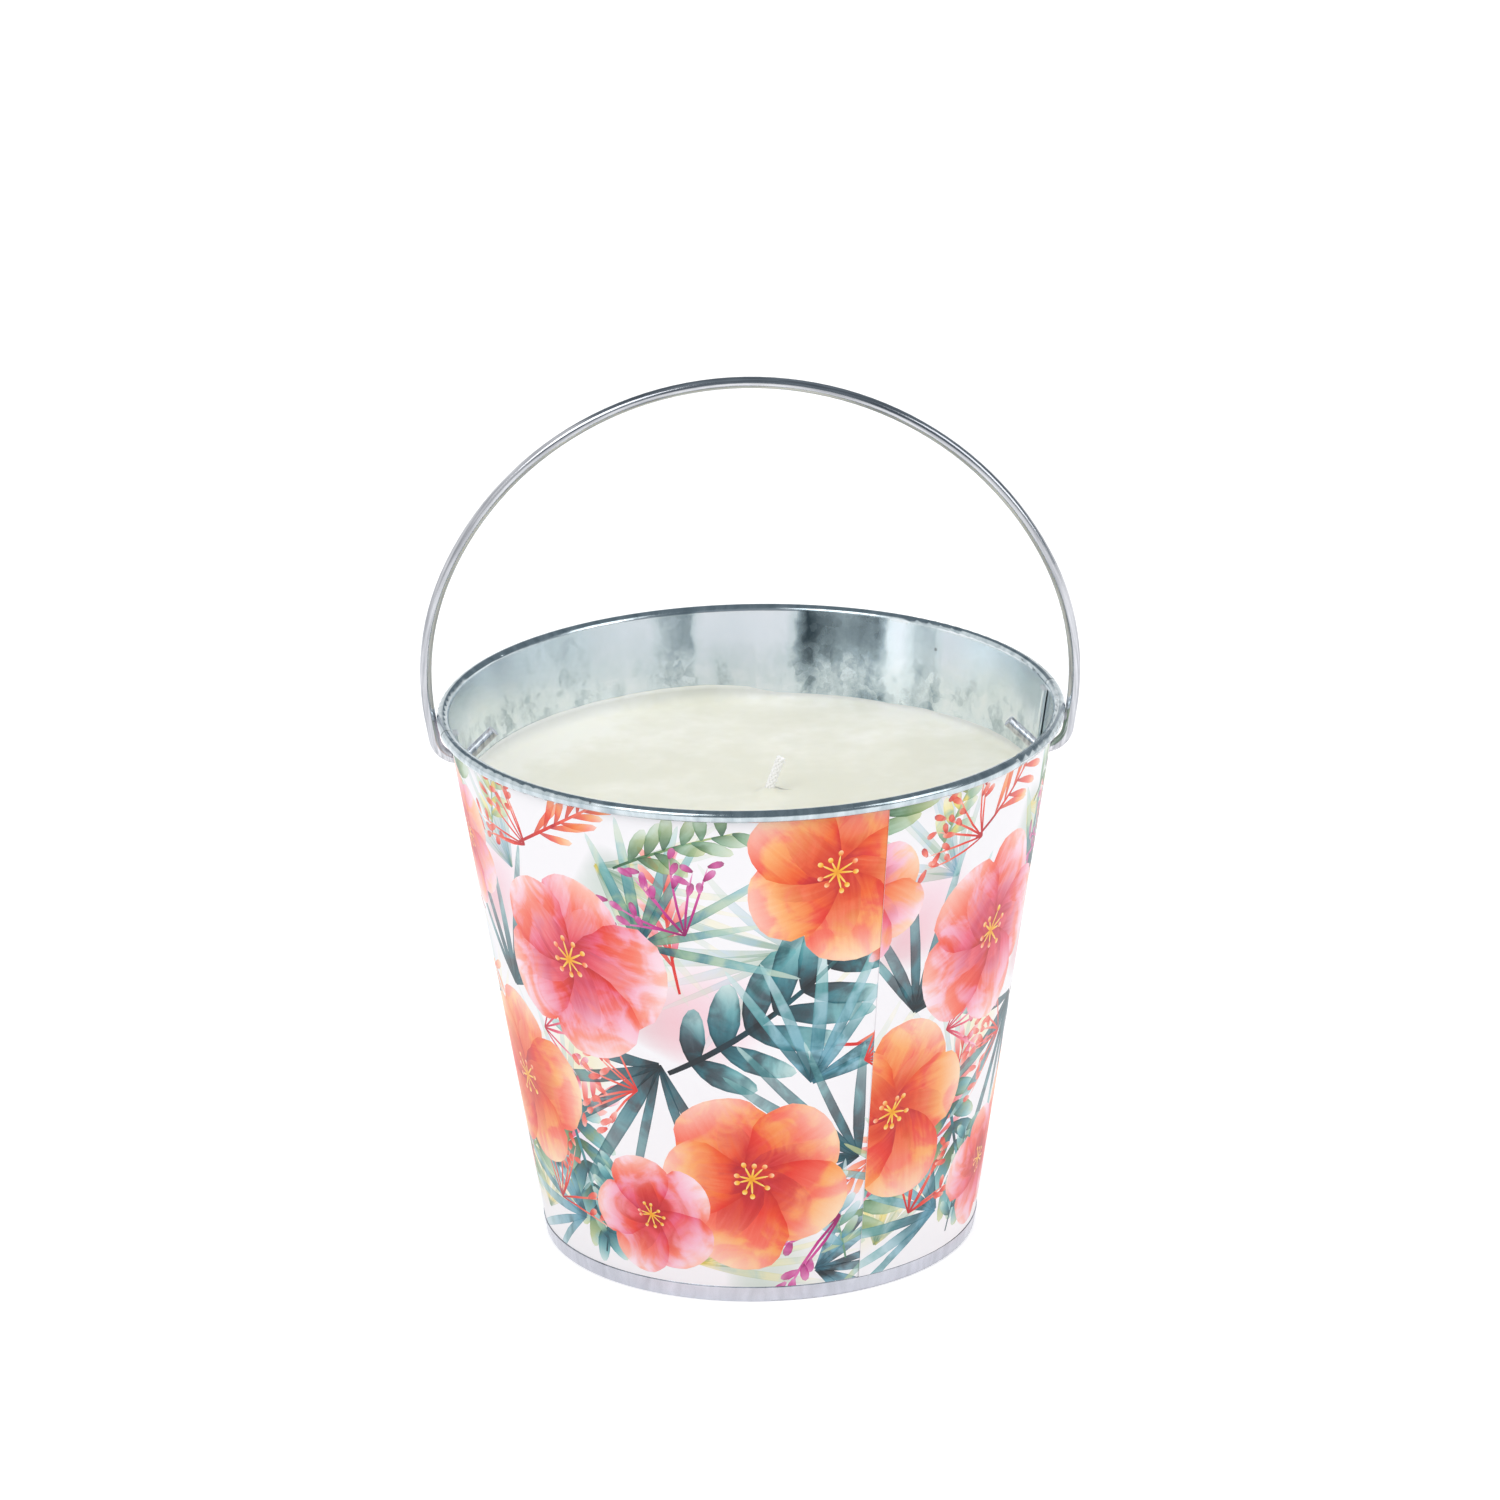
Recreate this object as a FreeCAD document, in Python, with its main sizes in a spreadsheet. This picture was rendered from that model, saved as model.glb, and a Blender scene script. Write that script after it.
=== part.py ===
# A small galvanised bucket with a wire bail, a printed film wrap and a wick candle cast inside.
# Millimetres. +Z is up, X runs through the two ends of the bail, and the origin is the centre of
# the standing ring, on the table.
import FreeCAD, Part
import Sketcher
import math
import os

Vector = FreeCAD.Vector
UP = Vector(0, 0, 1)
SIDEWAYS_TURN = Vector(0, 1, 0)

# Driving dimensions: each can be set by itself.
DRIVING = [
    # bucket
    ("height", 132.5, "table to the top of the rolled rim"),
    ("rim_radius", 75.0, "outside of the rolled rim"),
    ("foot_radius", 51.64, "outer face of the wall, carried down to the table"),
    ("sheet", 0.4, "galvanised sheet of the body, measured level"),
    ("curl_radius", 1.45, "outside of the rolled rim's own section"),
    ("curl_edge_angle", 135.0, "how far below its outermost point the curl's edge ends"),
    ("curl_joint", 0.3, "gap between the two halves' curls"),
    # lock seams
    ("seam_angle", 9.5, "right-hand seam, from the bail's axis"),
    ("seam_flat", 2.8, "straight part of the folded laps"),
    ("seam_play", 0.05, "between neighbouring laps"),
    ("seam_shoulder", 0.6, "flat land outside the fold"),
    ("seam_lift", 0.3, "seam's lower end above the base"),
    # base
    ("pan_sheet", 0.4, "sheet of the base"),
    ("pan_recess", 3.0, "underside of the base above the table"),
    ("pan_corner", 0.4, "rounding of the standing ring"),
    ("pan_bend", 0.3, "inside of the bend at the base's edge"),
    ("band_height", 3.8, "bare band that clasps the wall's foot"),
    ("lap_play", 0.05, "between the wall's foot and the base"),
    # wrap
    ("film", 0.15, "printed film"),
    ("glue_line", 0.05, "between the wall and the film"),
    ("film_low_gap", 0.2, "film above the bare band"),
    ("film_top_gap", 0.4, "film below the rolled rim"),
    ("film_joint_angle", -64.0, "visible edge of the film's joint"),
    ("film_lap", 6.5, "how far the film laps over itself, in degrees"),
    ("film_step", 1.3, "further turn over which it steps up, in degrees"),
    ("film_hole_play", 1.1, "film's hole, round the wire"),
    # bail
    ("wire", 2.8, "wire of the bail, across"),
    ("pivot_drop", 12.1, "rim down to the bail's axis"),
    ("hole_play", 0.3, "round the wire in its hole"),
    ("hook_slope", 11.0, "wire's slope where it goes through the wall"),
    ("hook_through", 0.5, "half of the straight that goes through the wall"),
    ("inner_bend", 3.0, "bend inside the bucket"),
    ("stub_angle", 45.0, "slope of the end inside the bucket"),
    ("stub_length", 8.4, "straight end inside the bucket"),
    ("leg_lean", 9.0, "lean of the leg where it passes the rim"),
    ("leg_play", 0.15, "between the leg and the rim"),
    ("shoulder_angle", 66.0, "from the crown to where the side bend begins"),
    ("bail_rise", 92.6, "crown of the bail above its axis"),
    # candle
    ("wax_drop", 22.7, "rim to the wax"),
    ("meniscus", 2.5, "rise of the wax at the wall"),
    ("meniscus_edge", 0.3, "thickness of its upper edge"),
    ("wax_play", 0.05, "between the wax and what it is cast against"),
    ("wick_diameter", 2.4, "braided wick"),
    ("wick_offset", 4.0, "where the wick leaves the wax"),
    ("wick_lean", 22.0, "lean of its free end"),
    ("wick_bend", 8.0, "bend below its free end"),
    ("wick_exposed", 9.3, "length above the wax"),
    ("neck_wall", 0.5, "sustainer's neck"),
    ("neck_play", 0.1, "between the neck and the wick"),
    ("neck_height", 6.0, "sustainer's neck"),
    ("sustainer_diameter", 20.0, "sustainer's disc"),
    ("sustainer_sheet", 0.3, "sustainer's disc"),
    ("pad_inset", 1.0, "edge of the glue pad, inside the disc's"),
    ("pad_thickness", 1.0, "glue pad"),
]

# Sizes that follow from the driving ones.
DERIVED = [
    # the wall's inner face touches the curl's circle, which gives the wall its lean
    ("curl_centre", "rim_radius - curl_radius"),
    ("curl_level", "height - curl_radius"),
    ("wall_run", "curl_centre - foot_radius + sheet"),
    ("wall_reach", "sqrt(wall_run^2 + curl_level^2)"),
    ("wall_lean", "(atan(wall_run / curl_level) - asin(curl_radius / wall_reach)) / 1deg"),
    ("slope", "tan(wall_lean)"),
    ("curl_sheet", "sheet * cos(wall_lean)"),
    ("curl_inside", "curl_radius - curl_sheet"),
    # fold radii and lap depths of the lock seam, from the wall's outer face inwards
    ("fold_outside", "(3 * sheet + 2 * seam_play) / 2"),
    ("fold_inside", "(sheet + 2 * seam_play) / 2"),
    ("lap_two", "sheet + seam_play"),
    ("lap_three", "2 * lap_two"),
    ("lap_four", "3 * lap_two"),
    ("seam_depth", "lap_four + sheet"),
    ("half_flat", "seam_flat / 2"),
    ("lap_end", "half_flat - 2 * seam_play"),
    ("fold_tip", "half_flat + fold_outside"),
    ("joggle", "fold_tip + seam_play"),
    ("joggle_back", "joggle + sheet"),
    ("seam_low", "pan_recess + pan_sheet + seam_lift"),
    # wall radii at the seam's two ends; the flat strip for the seam widens with the wall
    ("low_radius", "foot_radius + slope * seam_low"),
    ("high_radius", "foot_radius + slope * curl_level"),
    ("land_angle", "asin((joggle_back + seam_shoulder) / low_radius) / 1deg"),
    ("joint_near", "asin(fold_tip / high_radius) / 1deg"),
    ("joint_far", "asin((joggle + curl_joint) / high_radius) / 1deg"),
    ("wall_foot", "pan_sheet + lap_play"),
    # film
    ("film_low", "band_height + film_low_gap"),
    ("film_high", "height - 2 * curl_radius - film_top_gap"),
    ("film_over", "film + glue_line"),
    ("step_start", "film_lap + glue_line / film * film_step"),
    ("step_end", "step_start + film_step"),
    # bail: its leg passes the rolled rim at a set distance, which gives the hook its bend
    ("pivot_height", "height - pivot_drop"),
    ("pivot_radius", "foot_radius + slope * pivot_height - sheet / 2"),
    ("hook_x", "pivot_radius + hook_through * cos(hook_slope)"),
    ("hook_z", "pivot_height + hook_through * sin(hook_slope)"),
    ("leg_reach", "curl_radius + wire / 2 + leg_play"),
    ("leg_x", "curl_centre + leg_reach * cos(leg_lean)"),
    ("leg_z", "curl_level - leg_reach * sin(leg_lean)"),
    ("hook_offset", "(leg_x - hook_x) * cos(leg_lean) - (leg_z - hook_z) * sin(leg_lean)"),
    ("hook_radius", "hook_offset / (1 - sin(hook_slope + leg_lean))"),
    ("hook_top_x", "hook_x + hook_radius * (cos(leg_lean) - sin(hook_slope))"),
    ("hook_top_z", "hook_z + hook_radius * (cos(hook_slope) - sin(leg_lean))"),
    ("crown_z", "pivot_height + bail_rise"),
    ("shoulder", "tan(shoulder_angle / 2)"),
    ("side_share", "1 + sin(leg_lean) - cos(leg_lean) * shoulder"),
    ("side_radius", "(crown_z - leg_z - leg_x * shoulder) / side_share"),
    ("side_centre", "leg_x - side_radius * cos(leg_lean)"),
    ("spring_z", "leg_z + side_radius * sin(leg_lean)"),
    ("crown_radius", "side_radius + side_centre / sin(shoulder_angle)"),
    ("inner_x", "pivot_radius - hook_through * cos(hook_slope)"),
    ("inner_z", "pivot_height - hook_through * sin(hook_slope)"),
    ("stub_x", "inner_x - inner_bend * (sin(hook_slope) + sin(stub_angle))"),
    ("stub_z", "inner_z + inner_bend * (cos(hook_slope) - cos(stub_angle))"),
    # candle
    ("floor", "pan_recess + pan_sheet"),
    ("wax_level", "height - wax_drop"),
    ("wax_foot_radius", "foot_radius - sheet - wax_play"),
    ("wax_rim", "wax_level + meniscus"),
    ("pad_radius", "sustainer_diameter / 2 - pad_inset"),
    ("wick_foot", "floor + pad_thickness"),
    ("neck_top", "wick_foot + neck_height"),
    ("bore_radius", "wick_diameter / 2 + wax_play"),
    ("neck_bore", "wick_diameter / 2 + neck_play"),
    ("neck_outside", "neck_bore + neck_wall"),
    ("wick_rise", "wax_level - neck_top"),
    ("wick_sweep", "(wick_rise^2 + wick_offset^2) / (2 * wick_offset)"),
    ("wick_start_lean", "asin(wick_rise / wick_sweep) / 1deg"),
]

doc = FreeCAD.newDocument("citronella_bucket")
size = doc.addObject("Spreadsheet::Sheet", "Size")
row = 0
for alias, value, note in DRIVING:
    row += 1
    size.set(f"A{row}", alias)
    size.set(f"B{row}", str(value))
    size.set(f"C{row}", note)
    size.setAlias(f"B{row}", alias)
for alias, formula in DERIVED:
    row += 1
    size.set(f"A{row}", alias)
    size.set(f"B{row}", "=" + formula)
    size.setAlias(f"B{row}", alias)
doc.recompute()


# Sketch helpers
def worked_out(formula):
    return float(size.evalExpression(formula))


def new_body(name, turn=None):
    """A named piece, turned about the bucket's axis if it is drawn in a seam's own frame."""
    body = doc.addObject("PartDesign::Body", name)
    body.Label = name
    if turn:
        body.Placement = FreeCAD.Placement(Vector(), FreeCAD.Rotation(UP, worked_out(turn)))
        body.setExpression("Placement.Rotation.Angle", turn)
    return body


def new_sketch(body, name, plane, lift=None, turn=None):
    """A sketch on one of the body's origin planes, raised by lift or turned about Z."""
    sketch = body.newObject("Sketcher::SketchObject", name)
    support = [one for one in body.Origin.OriginFeatures if one.Role == plane][0]
    sketch.AttachmentSupport = [(support, "")]
    sketch.MapMode = "FlatFace"
    if turn:
        rotation = FreeCAD.Rotation(SIDEWAYS_TURN, worked_out(turn))
        sketch.AttachmentOffset = FreeCAD.Placement(Vector(), rotation)
        sketch.setExpression("AttachmentOffset.Rotation.Angle", turn)
    if lift:
        sketch.setExpression("AttachmentOffset.Base.z", lift)
    return sketch


def pin(sketch, side, end, corner):
    """Fix one end of a side at a corner, given as two formulas."""
    for kind, formula in zip(("DistanceX", "DistanceY"), corner):
        fixed = Sketcher.Constraint(kind, side, end, worked_out(formula))
        index = sketch.addConstraint(fixed)
        sketch.setExpression(f"Constraints[{index}]", formula)


def add_side(sketch, start, finish, bend):
    """One straight or bent side; gives its number and which of its ends is the start."""
    if bend is None:
        return sketch.addGeometry(Part.LineSegment(start, finish)), 1, 2
    radius = worked_out(bend[0])
    chord = finish - start
    left = Vector(-chord.y, chord.x, 0).normalize()
    depth = math.sqrt(max(radius ** 2 - chord.Length ** 2 / 4, 0))
    centre = (start + finish) * 0.5 + left * (depth if bend[1] == "left" else -depth)
    first, second = (start, finish) if bend[1] == "left" else (finish, start)
    angles = [math.atan2(end.y - centre.y, end.x - centre.x) for end in (first, second)]
    side = sketch.addGeometry(Part.ArcOfCircle(Part.Circle(centre, UP, radius), *angles))
    index = sketch.addConstraint(Sketcher.Constraint("Radius", side, radius))
    sketch.setExpression(f"Constraints[{index}]", bend[0])
    return (side, 1, 2) if bend[1] == "left" else (side, 2, 1)


def draw(sketch, corners, closed=True):
    """Join corners in turn. A corner is (x, y) or (x, y, radius, hand), where the side that
    leads to it is an arc that turns to that hand. The first corner's arc closes the outline."""
    places = [Vector(worked_out(corner[0]), worked_out(corner[1]), 0) for corner in corners]
    count = len(corners)
    joined = []
    for number in range(count if closed else count - 1):
        following = (number + 1) % count
        bend = corners[following][2:] or None
        joined.append(add_side(sketch, places[number], places[following], bend))
    for number, (side, first, last) in enumerate(joined):
        pin(sketch, side, first, corners[number][:2])
        if closed or number + 1 < len(joined):
            next_side, next_first, _ = joined[(number + 1) % len(joined)]
            sketch.addConstraint(Sketcher.Constraint("Coincident", side, last, next_side, next_first))
        else:
            pin(sketch, side, last, corners[-1][:2])
    return sketch


def circle(sketch, across, radius, up="0"):
    side = sketch.addGeometry(Part.Circle(Vector(worked_out(across), worked_out(up), 0), UP, 1))
    pin(sketch, side, 3, (across, up))
    index = sketch.addConstraint(Sketcher.Constraint("Radius", side, worked_out(radius)))
    sketch.setExpression(f"Constraints[{index}]", radius)
    return sketch


# Feature helpers
def revolve(body, name, sketch, angle="360"):
    turned = body.newObject("PartDesign::Revolution", name)
    turned.Profile = sketch
    turned.ReferenceAxis = (sketch, ["V_Axis"])
    turned.setExpression("Angle", angle)
    return turned


def loft(body, name, low, high, cut=False):
    kind = "PartDesign::SubtractiveLoft" if cut else "PartDesign::AdditiveLoft"
    sheet = body.newObject(kind, name)
    sheet.Profile = low
    sheet.Sections = [high]
    sheet.Ruled = True
    return sheet


def pipe(body, name, section, path, cut=False):
    kind = "PartDesign::SubtractivePipe" if cut else "PartDesign::AdditivePipe"
    swept = body.newObject(kind, name)
    swept.Profile = section
    swept.Spine = path
    return swept


def punch(body, name, sketch):
    """Cut the sketch right through both ways."""
    hole = body.newObject("PartDesign::Pocket", name)
    hole.Profile = sketch
    hole.SideType = "Symmetric"
    hole.setExpression("Length", "4 * Size.rim_radius")
    return hole


# Body halves. Each is one sheet, drawn with its two seams on the X axis. At +X its edge folds
# back inside the other sheet's edge, flush outside. At -X it steps inwards and folds the other way.
def outer_fold(flat):
    """Corners of the sheet's flush edge, from the outer face round the fold to the inner face."""
    return [
        (flat, "Size.half_flat"),
        (f"{flat} - Size.fold_outside", "Size.fold_tip", "Size.fold_outside", "left"),
        (f"{flat} - 2 * Size.fold_outside", "Size.half_flat", "Size.fold_outside", "left"),
        (f"{flat} - 2 * Size.fold_outside", "-Size.lap_end"),
        (f"{flat} - Size.lap_three", "-Size.lap_end"),
        (f"{flat} - Size.lap_three", "Size.half_flat"),
        (f"{flat} - Size.sheet - Size.fold_inside", "Size.half_flat + Size.fold_inside",
         "Size.fold_inside", "right"),
        (f"{flat} - Size.sheet", "Size.half_flat", "Size.fold_inside", "right"),
    ]


def inner_fold(flat):
    """Corners of the stepped edge, from the wall's inner face round the fold to its outer face."""
    return [
        (f"-({flat} - Size.sheet)", "-Size.joggle_back"),
        (f"-({flat} - Size.lap_four)", "-Size.joggle_back"),
        (f"-({flat} - Size.seam_depth)", "-Size.joggle", "Size.sheet", "right"),
        (f"-({flat} - Size.seam_depth)", "Size.half_flat"),
        (f"-({flat} - Size.lap_two - Size.fold_outside)", "Size.fold_tip",
         "Size.fold_outside", "left"),
        (f"-({flat} - Size.lap_two)", "Size.half_flat", "Size.fold_outside", "left"),
        (f"-({flat} - Size.lap_two)", "-Size.lap_end"),
        (f"-({flat} - Size.lap_two - Size.sheet)", "-Size.lap_end"),
        (f"-({flat} - Size.lap_two - Size.sheet)", "Size.half_flat"),
        (f"-({flat} - Size.lap_two - Size.sheet - Size.fold_inside)",
         "Size.half_flat + Size.fold_inside", "Size.fold_inside", "right"),
        (f"-({flat} - Size.lap_four)", "Size.half_flat", "Size.fold_inside", "right"),
        (f"-({flat} - Size.lap_four)", "-Size.joggle"),
        (f"-({flat} - Size.sheet)", "-Size.joggle"),
        (f"-{flat}", "-Size.joggle_back", "Size.sheet", "left"),
    ]


def fold_section(side, radius):
    """Level section of one seam edge: a short flat land, square to the wall where it begins,
    and the folds beyond it."""
    flat = f"({radius} * cos(Size.land_angle))"
    inner = f"({flat} - Size.sheet)"
    land_outside = f"-{radius} * sin(Size.land_angle)"
    land_inside = f"-{inner} * tan(Size.land_angle)"
    if side == "flush":
        return [(inner, land_inside), (flat, land_outside)] + outer_fold(flat)
    return [(f"-{flat}", land_outside), (f"-{inner}", land_inside)] + inner_fold(flat)


def wall_face(height, inwards="0"):
    return f"Size.foot_radius + Size.slope * {height} - ({inwards})"


def curl_point(radius, angle):
    return (f"Size.curl_centre + {radius} * cos({angle})",
            f"Size.curl_level + {radius} * sin({angle})")


def rolled_rim():
    """Radial section of the rim: up from the neck, over the top and round under itself."""
    tangent = "180 - Size.wall_lean"
    outside, inside = "Size.curl_radius", "Size.curl_inside"
    stops = ["90", "0", "-90", "-Size.curl_edge_angle"]
    corners = [(wall_face("Size.curl_level"), "Size.curl_level")]
    corners.append(curl_point(inside, tangent))
    corners += [curl_point(inside, stop) + (inside, "right") for stop in stops]
    corners.append(curl_point(outside, stops[-1]))
    corners += [curl_point(outside, stop) + (outside, "left") for stop in reversed(stops[:-1])]
    corners.append(curl_point(outside, tangent) + (outside, "left"))
    corners.append((wall_face("Size.curl_level", "Size.sheet"), "Size.curl_level"))
    return corners


def body_half(name, turn):
    body = new_body(name, turn)
    wall = draw(new_sketch(body, name + "_wall_section", "XZ_Plane", turn="Size.land_angle - 180"), [
        (wall_face("Size.seam_low", "Size.sheet"), "Size.seam_low"),
        (wall_face("Size.seam_low"), "Size.seam_low"),
        (wall_face("Size.curl_level"), "Size.curl_level"),
        (wall_face("Size.curl_level", "Size.sheet"), "Size.curl_level"),
    ])
    revolve(body, name + "_wall", wall, "180 - 2 * Size.land_angle")
    for side in ("flush", "stepped"):
        low = draw(new_sketch(body, f"{name}_{side}_low", "XY_Plane", "Size.seam_low"),
                   fold_section(side, "Size.low_radius"))
        high = draw(new_sketch(body, f"{name}_{side}_high", "XY_Plane", "Size.curl_level"),
                    fold_section(side, "Size.high_radius"))
        loft(body, f"{name}_{side}_edge", low, high)
    round_half = "180 - Size.joint_far + Size.joint_near"
    start = "-180 + Size.joint_far"
    rim = draw(new_sketch(body, name + "_rim_section", "XZ_Plane", turn=start), rolled_rim())
    revolve(body, name + "_rim", rim, round_half)
    foot = draw(new_sketch(body, name + "_foot_section", "XZ_Plane", turn=start), [
        (wall_face("Size.wall_foot", "Size.sheet"), "Size.wall_foot"),
        (wall_face("Size.wall_foot"), "Size.wall_foot"),
        (wall_face("Size.seam_low"), "Size.seam_low"),
        (wall_face("Size.seam_low", "Size.sheet"), "Size.seam_low"),
    ])
    revolve(body, name + "_foot", foot, round_half)
    hole = new_sketch(body, name + "_hole_section", "YZ_Plane", turn="-Size.seam_angle")
    circle(hole, "0", "Size.wire / 2 + Size.hole_play", "Size.pivot_height")
    punch(body, name + "_hole", hole)
    return body


# Base: a disc set up from the table, turned down inside the wall, under it and up outside it.
def base_pan():
    body = new_body("base_pan")
    inside_leg = "Size.sheet + Size.lap_play + Size.pan_sheet"
    outside_leg = "-Size.lap_play - Size.pan_sheet"
    corner, bend = "Size.pan_corner", "Size.pan_bend"
    wide_bend = "(Size.pan_bend + Size.pan_sheet)"
    below_bend = f"(Size.pan_recess - {bend})"
    section = draw(new_sketch(body, "base_section", "XZ_Plane"), [
        ("0", "Size.pan_recess"),
        (f"{wall_face(below_bend, inside_leg)} - {bend}", "Size.pan_recess"),
        (wall_face(below_bend, inside_leg), below_bend, bend, "right"),
        (wall_face(corner, inside_leg), corner),
        (f"{wall_face(corner, inside_leg)} + {corner}", "0", corner, "left"),
        (f"{wall_face(corner, outside_leg)} - {corner}", "0"),
        (wall_face(corner, outside_leg), corner, corner, "left"),
        (wall_face("Size.band_height", outside_leg), "Size.band_height"),
        (wall_face("Size.band_height", "-Size.lap_play"), "Size.band_height"),
        (wall_face("Size.pan_sheet", "-Size.lap_play"), "Size.pan_sheet"),
        (wall_face("Size.pan_sheet", "Size.sheet + Size.lap_play"), "Size.pan_sheet"),
        (wall_face(below_bend, "Size.sheet + Size.lap_play"), below_bend),
        (f"{wall_face(below_bend, 'Size.sheet + Size.lap_play')} - {wide_bend}", "Size.floor",
         wide_bend, "left"),
        ("0", "Size.floor"),
    ])
    revolve(body, "base_sheet", section)
    return body


# Film: one strip round the wall, whose end steps up and laps over its start.
def film_band(body, name, start, turn, lift="0"):
    """A part of the strip at one distance from the wall, over a part of the circle."""
    inwards = f"-Size.glue_line - {lift}"
    section = draw(new_sketch(body, name + "_section", "XZ_Plane", turn=start), [
        (wall_face("Size.film_low", inwards), "Size.film_low"),
        (wall_face("Size.film_low", f"{inwards} - Size.film"), "Size.film_low"),
        (wall_face("Size.film_high", f"{inwards} - Size.film"), "Size.film_high"),
        (wall_face("Size.film_high", inwards), "Size.film_high"),
    ])
    revolve(body, name, section, turn)


def printed_wrap():
    body = new_body("printed_wrap", "Size.film_joint_angle")
    film_band(body, "film_strip", "Size.step_end", "360 - Size.step_end + Size.film_lap")
    film_band(body, "film_lap", "0", "Size.step_start", "Size.film_over")
    steps = []
    for level in ("Size.film_low", "Size.film_high"):
        corners = []
        for lift, angle in (("0", "Size.step_end"), ("Size.film", "Size.step_end"),
                            ("Size.film_over + Size.film", "Size.step_start"),
                            ("Size.film_over", "Size.step_start")):
            reach = f"({wall_face(level, '-Size.glue_line')} + {lift})"
            corners.append((f"{reach} * cos({angle})", f"{reach} * sin({angle})"))
        name = level.replace("Size.film", "step")
        steps.append(draw(new_sketch(body, name, "XY_Plane", level), corners))
    loft(body, "film_step", *steps)
    hole = new_sketch(body, "film_hole_section", "YZ_Plane", turn="-Size.film_joint_angle")
    circle(hole, "0", "Size.wire / 2 + Size.film_hole_play", "Size.pivot_height")
    punch(body, "film_holes", hole)
    return body


# Bail: one wire, drawn from its crown to one end and mirrored.
def bail():
    body = new_body("bail")
    crown = new_sketch(body, "wire_section", "YZ_Plane")
    circle(crown, "0", "Size.wire / 2", "Size.crown_z")
    path = draw(new_sketch(body, "wire_path", "XZ_Plane"), [
        ("0", "Size.crown_z"),
        ("Size.side_centre + Size.side_radius * sin(Size.shoulder_angle)",
         "Size.spring_z + Size.side_radius * cos(Size.shoulder_angle)",
         "Size.crown_radius", "right"),
        ("Size.leg_x", "Size.leg_z", "Size.side_radius", "right"),
        ("Size.hook_top_x", "Size.hook_top_z"),
        ("Size.hook_x", "Size.hook_z", "Size.hook_radius", "right"),
        ("Size.inner_x", "Size.inner_z"),
        ("Size.stub_x", "Size.stub_z", "Size.inner_bend", "right"),
        ("Size.stub_x - Size.stub_length * cos(Size.stub_angle)",
         "Size.stub_z + Size.stub_length * sin(Size.stub_angle)"),
    ], closed=False)
    pipe(body, "half_wire", crown, path)
    doc.recompute()
    other = body.newObject("PartDesign::Mirrored", "whole_wire")
    other.Originals = [doc.getObject("half_wire")]
    middle = [one for one in body.Origin.OriginFeatures if one.Role == "YZ_Plane"][0]
    other.MirrorPlane = (middle, [""])
    body.Tip = other
    return body


# Candle. The wick's path is shared by the wick and by its bore in the wax.
def wick_path(body, name):
    free = "(Size.wick_exposed - Size.wick_bend * (Size.wick_lean - Size.wick_start_lean) * pi / 180)"
    bend_x = "Size.wick_bend * (cos(Size.wick_start_lean) - cos(Size.wick_lean))"
    bend_z = "Size.wick_bend * (sin(Size.wick_lean) - sin(Size.wick_start_lean))"
    return draw(new_sketch(body, name, "XZ_Plane"), [
        ("0", "Size.wick_foot"),
        ("0", "Size.neck_top"),
        ("Size.wick_offset", "Size.wax_level", "Size.wick_sweep", "right"),
        (f"Size.wick_offset + {bend_x}", f"Size.wax_level + {bend_z}", "Size.wick_bend", "right"),
        (f"Size.wick_offset + {bend_x} + {free} * sin(Size.wick_lean)",
         f"Size.wax_level + {bend_z} + {free} * cos(Size.wick_lean)"),
    ], closed=False)


def wax_fill():
    body = new_body("wax_fill", "Size.seam_angle")
    face = "Size.wax_foot_radius + Size.slope * {}"
    rim_face = face.format("Size.wax_rim")
    recess = "(Size.sustainer_diameter / 2 + Size.wax_play)"
    recess_top = "Size.wick_foot + Size.sustainer_sheet + Size.wax_play"
    neck = "(Size.neck_outside + Size.wax_play)"
    section = draw(new_sketch(body, "wax_section", "XZ_Plane"), [
        (recess, "Size.floor"),
        (face.format("Size.floor"), "Size.floor"),
        (rim_face, "Size.wax_rim"),
        (f"{rim_face} - Size.meniscus_edge", "Size.wax_rim"),
        (f"{rim_face} - Size.meniscus_edge - Size.meniscus", "Size.wax_level",
         "Size.meniscus", "right"),
        ("0", "Size.wax_level"),
        ("0", "Size.neck_top + Size.wax_play"),
        (neck, "Size.neck_top + Size.wax_play"),
        (neck, recess_top),
        (recess, recess_top),
    ])
    revolve(body, "wax_block", section)
    grooves = []
    for level, height in (("low", "0"), ("high", "Size.height")):
        outer = f"({wall_face(height)})"
        flat = f"{outer} * cos(Size.land_angle)"
        groove_floor = f"{flat} - Size.seam_depth - Size.wax_play"
        land_face = f"{flat} - Size.sheet - Size.wax_play"
        beyond = f"{outer} + Size.sheet"
        land_edge = f"({outer} * sin(Size.land_angle) + Size.wax_play)"
        low_side, high_side = "-Size.fold_tip - Size.wax_play", "Size.joggle_back + Size.wax_play"
        groove = new_sketch(body, f"groove_{level}_section", "XY_Plane", height)
        grooves.append(draw(groove, [
            (groove_floor, low_side),
            (land_face, low_side),
            (land_face, f"-{land_edge}"),
            (beyond, f"-{land_edge}"),
            (beyond, land_edge),
            (land_face, land_edge),
            (land_face, high_side),
            (groove_floor, high_side),
        ]))
    groove = loft(body, "seam_groove", *grooves, cut=True)
    doc.recompute()
    pair = body.newObject("PartDesign::PolarPattern", "seam_grooves")
    pair.Originals = [groove]
    pair.Axis = (section, ["V_Axis"])
    pair.Angle = 360
    pair.Occurrences = 2
    body.Tip = pair
    bore = new_sketch(body, "bore_section", "XY_Plane", "Size.wick_foot")
    circle(bore, "0", "Size.bore_radius")
    pipe(body, "wick_bore", bore, wick_path(body, "bore_path"), cut=True)
    return body


def wick():
    body = new_body("wick", "Size.seam_angle")
    foot = new_sketch(body, "wick_section", "XY_Plane", "Size.wick_foot")
    circle(foot, "0", "Size.wick_diameter / 2")
    pipe(body, "wick_cord", foot, wick_path(body, "wick_line"))
    return body


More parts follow.
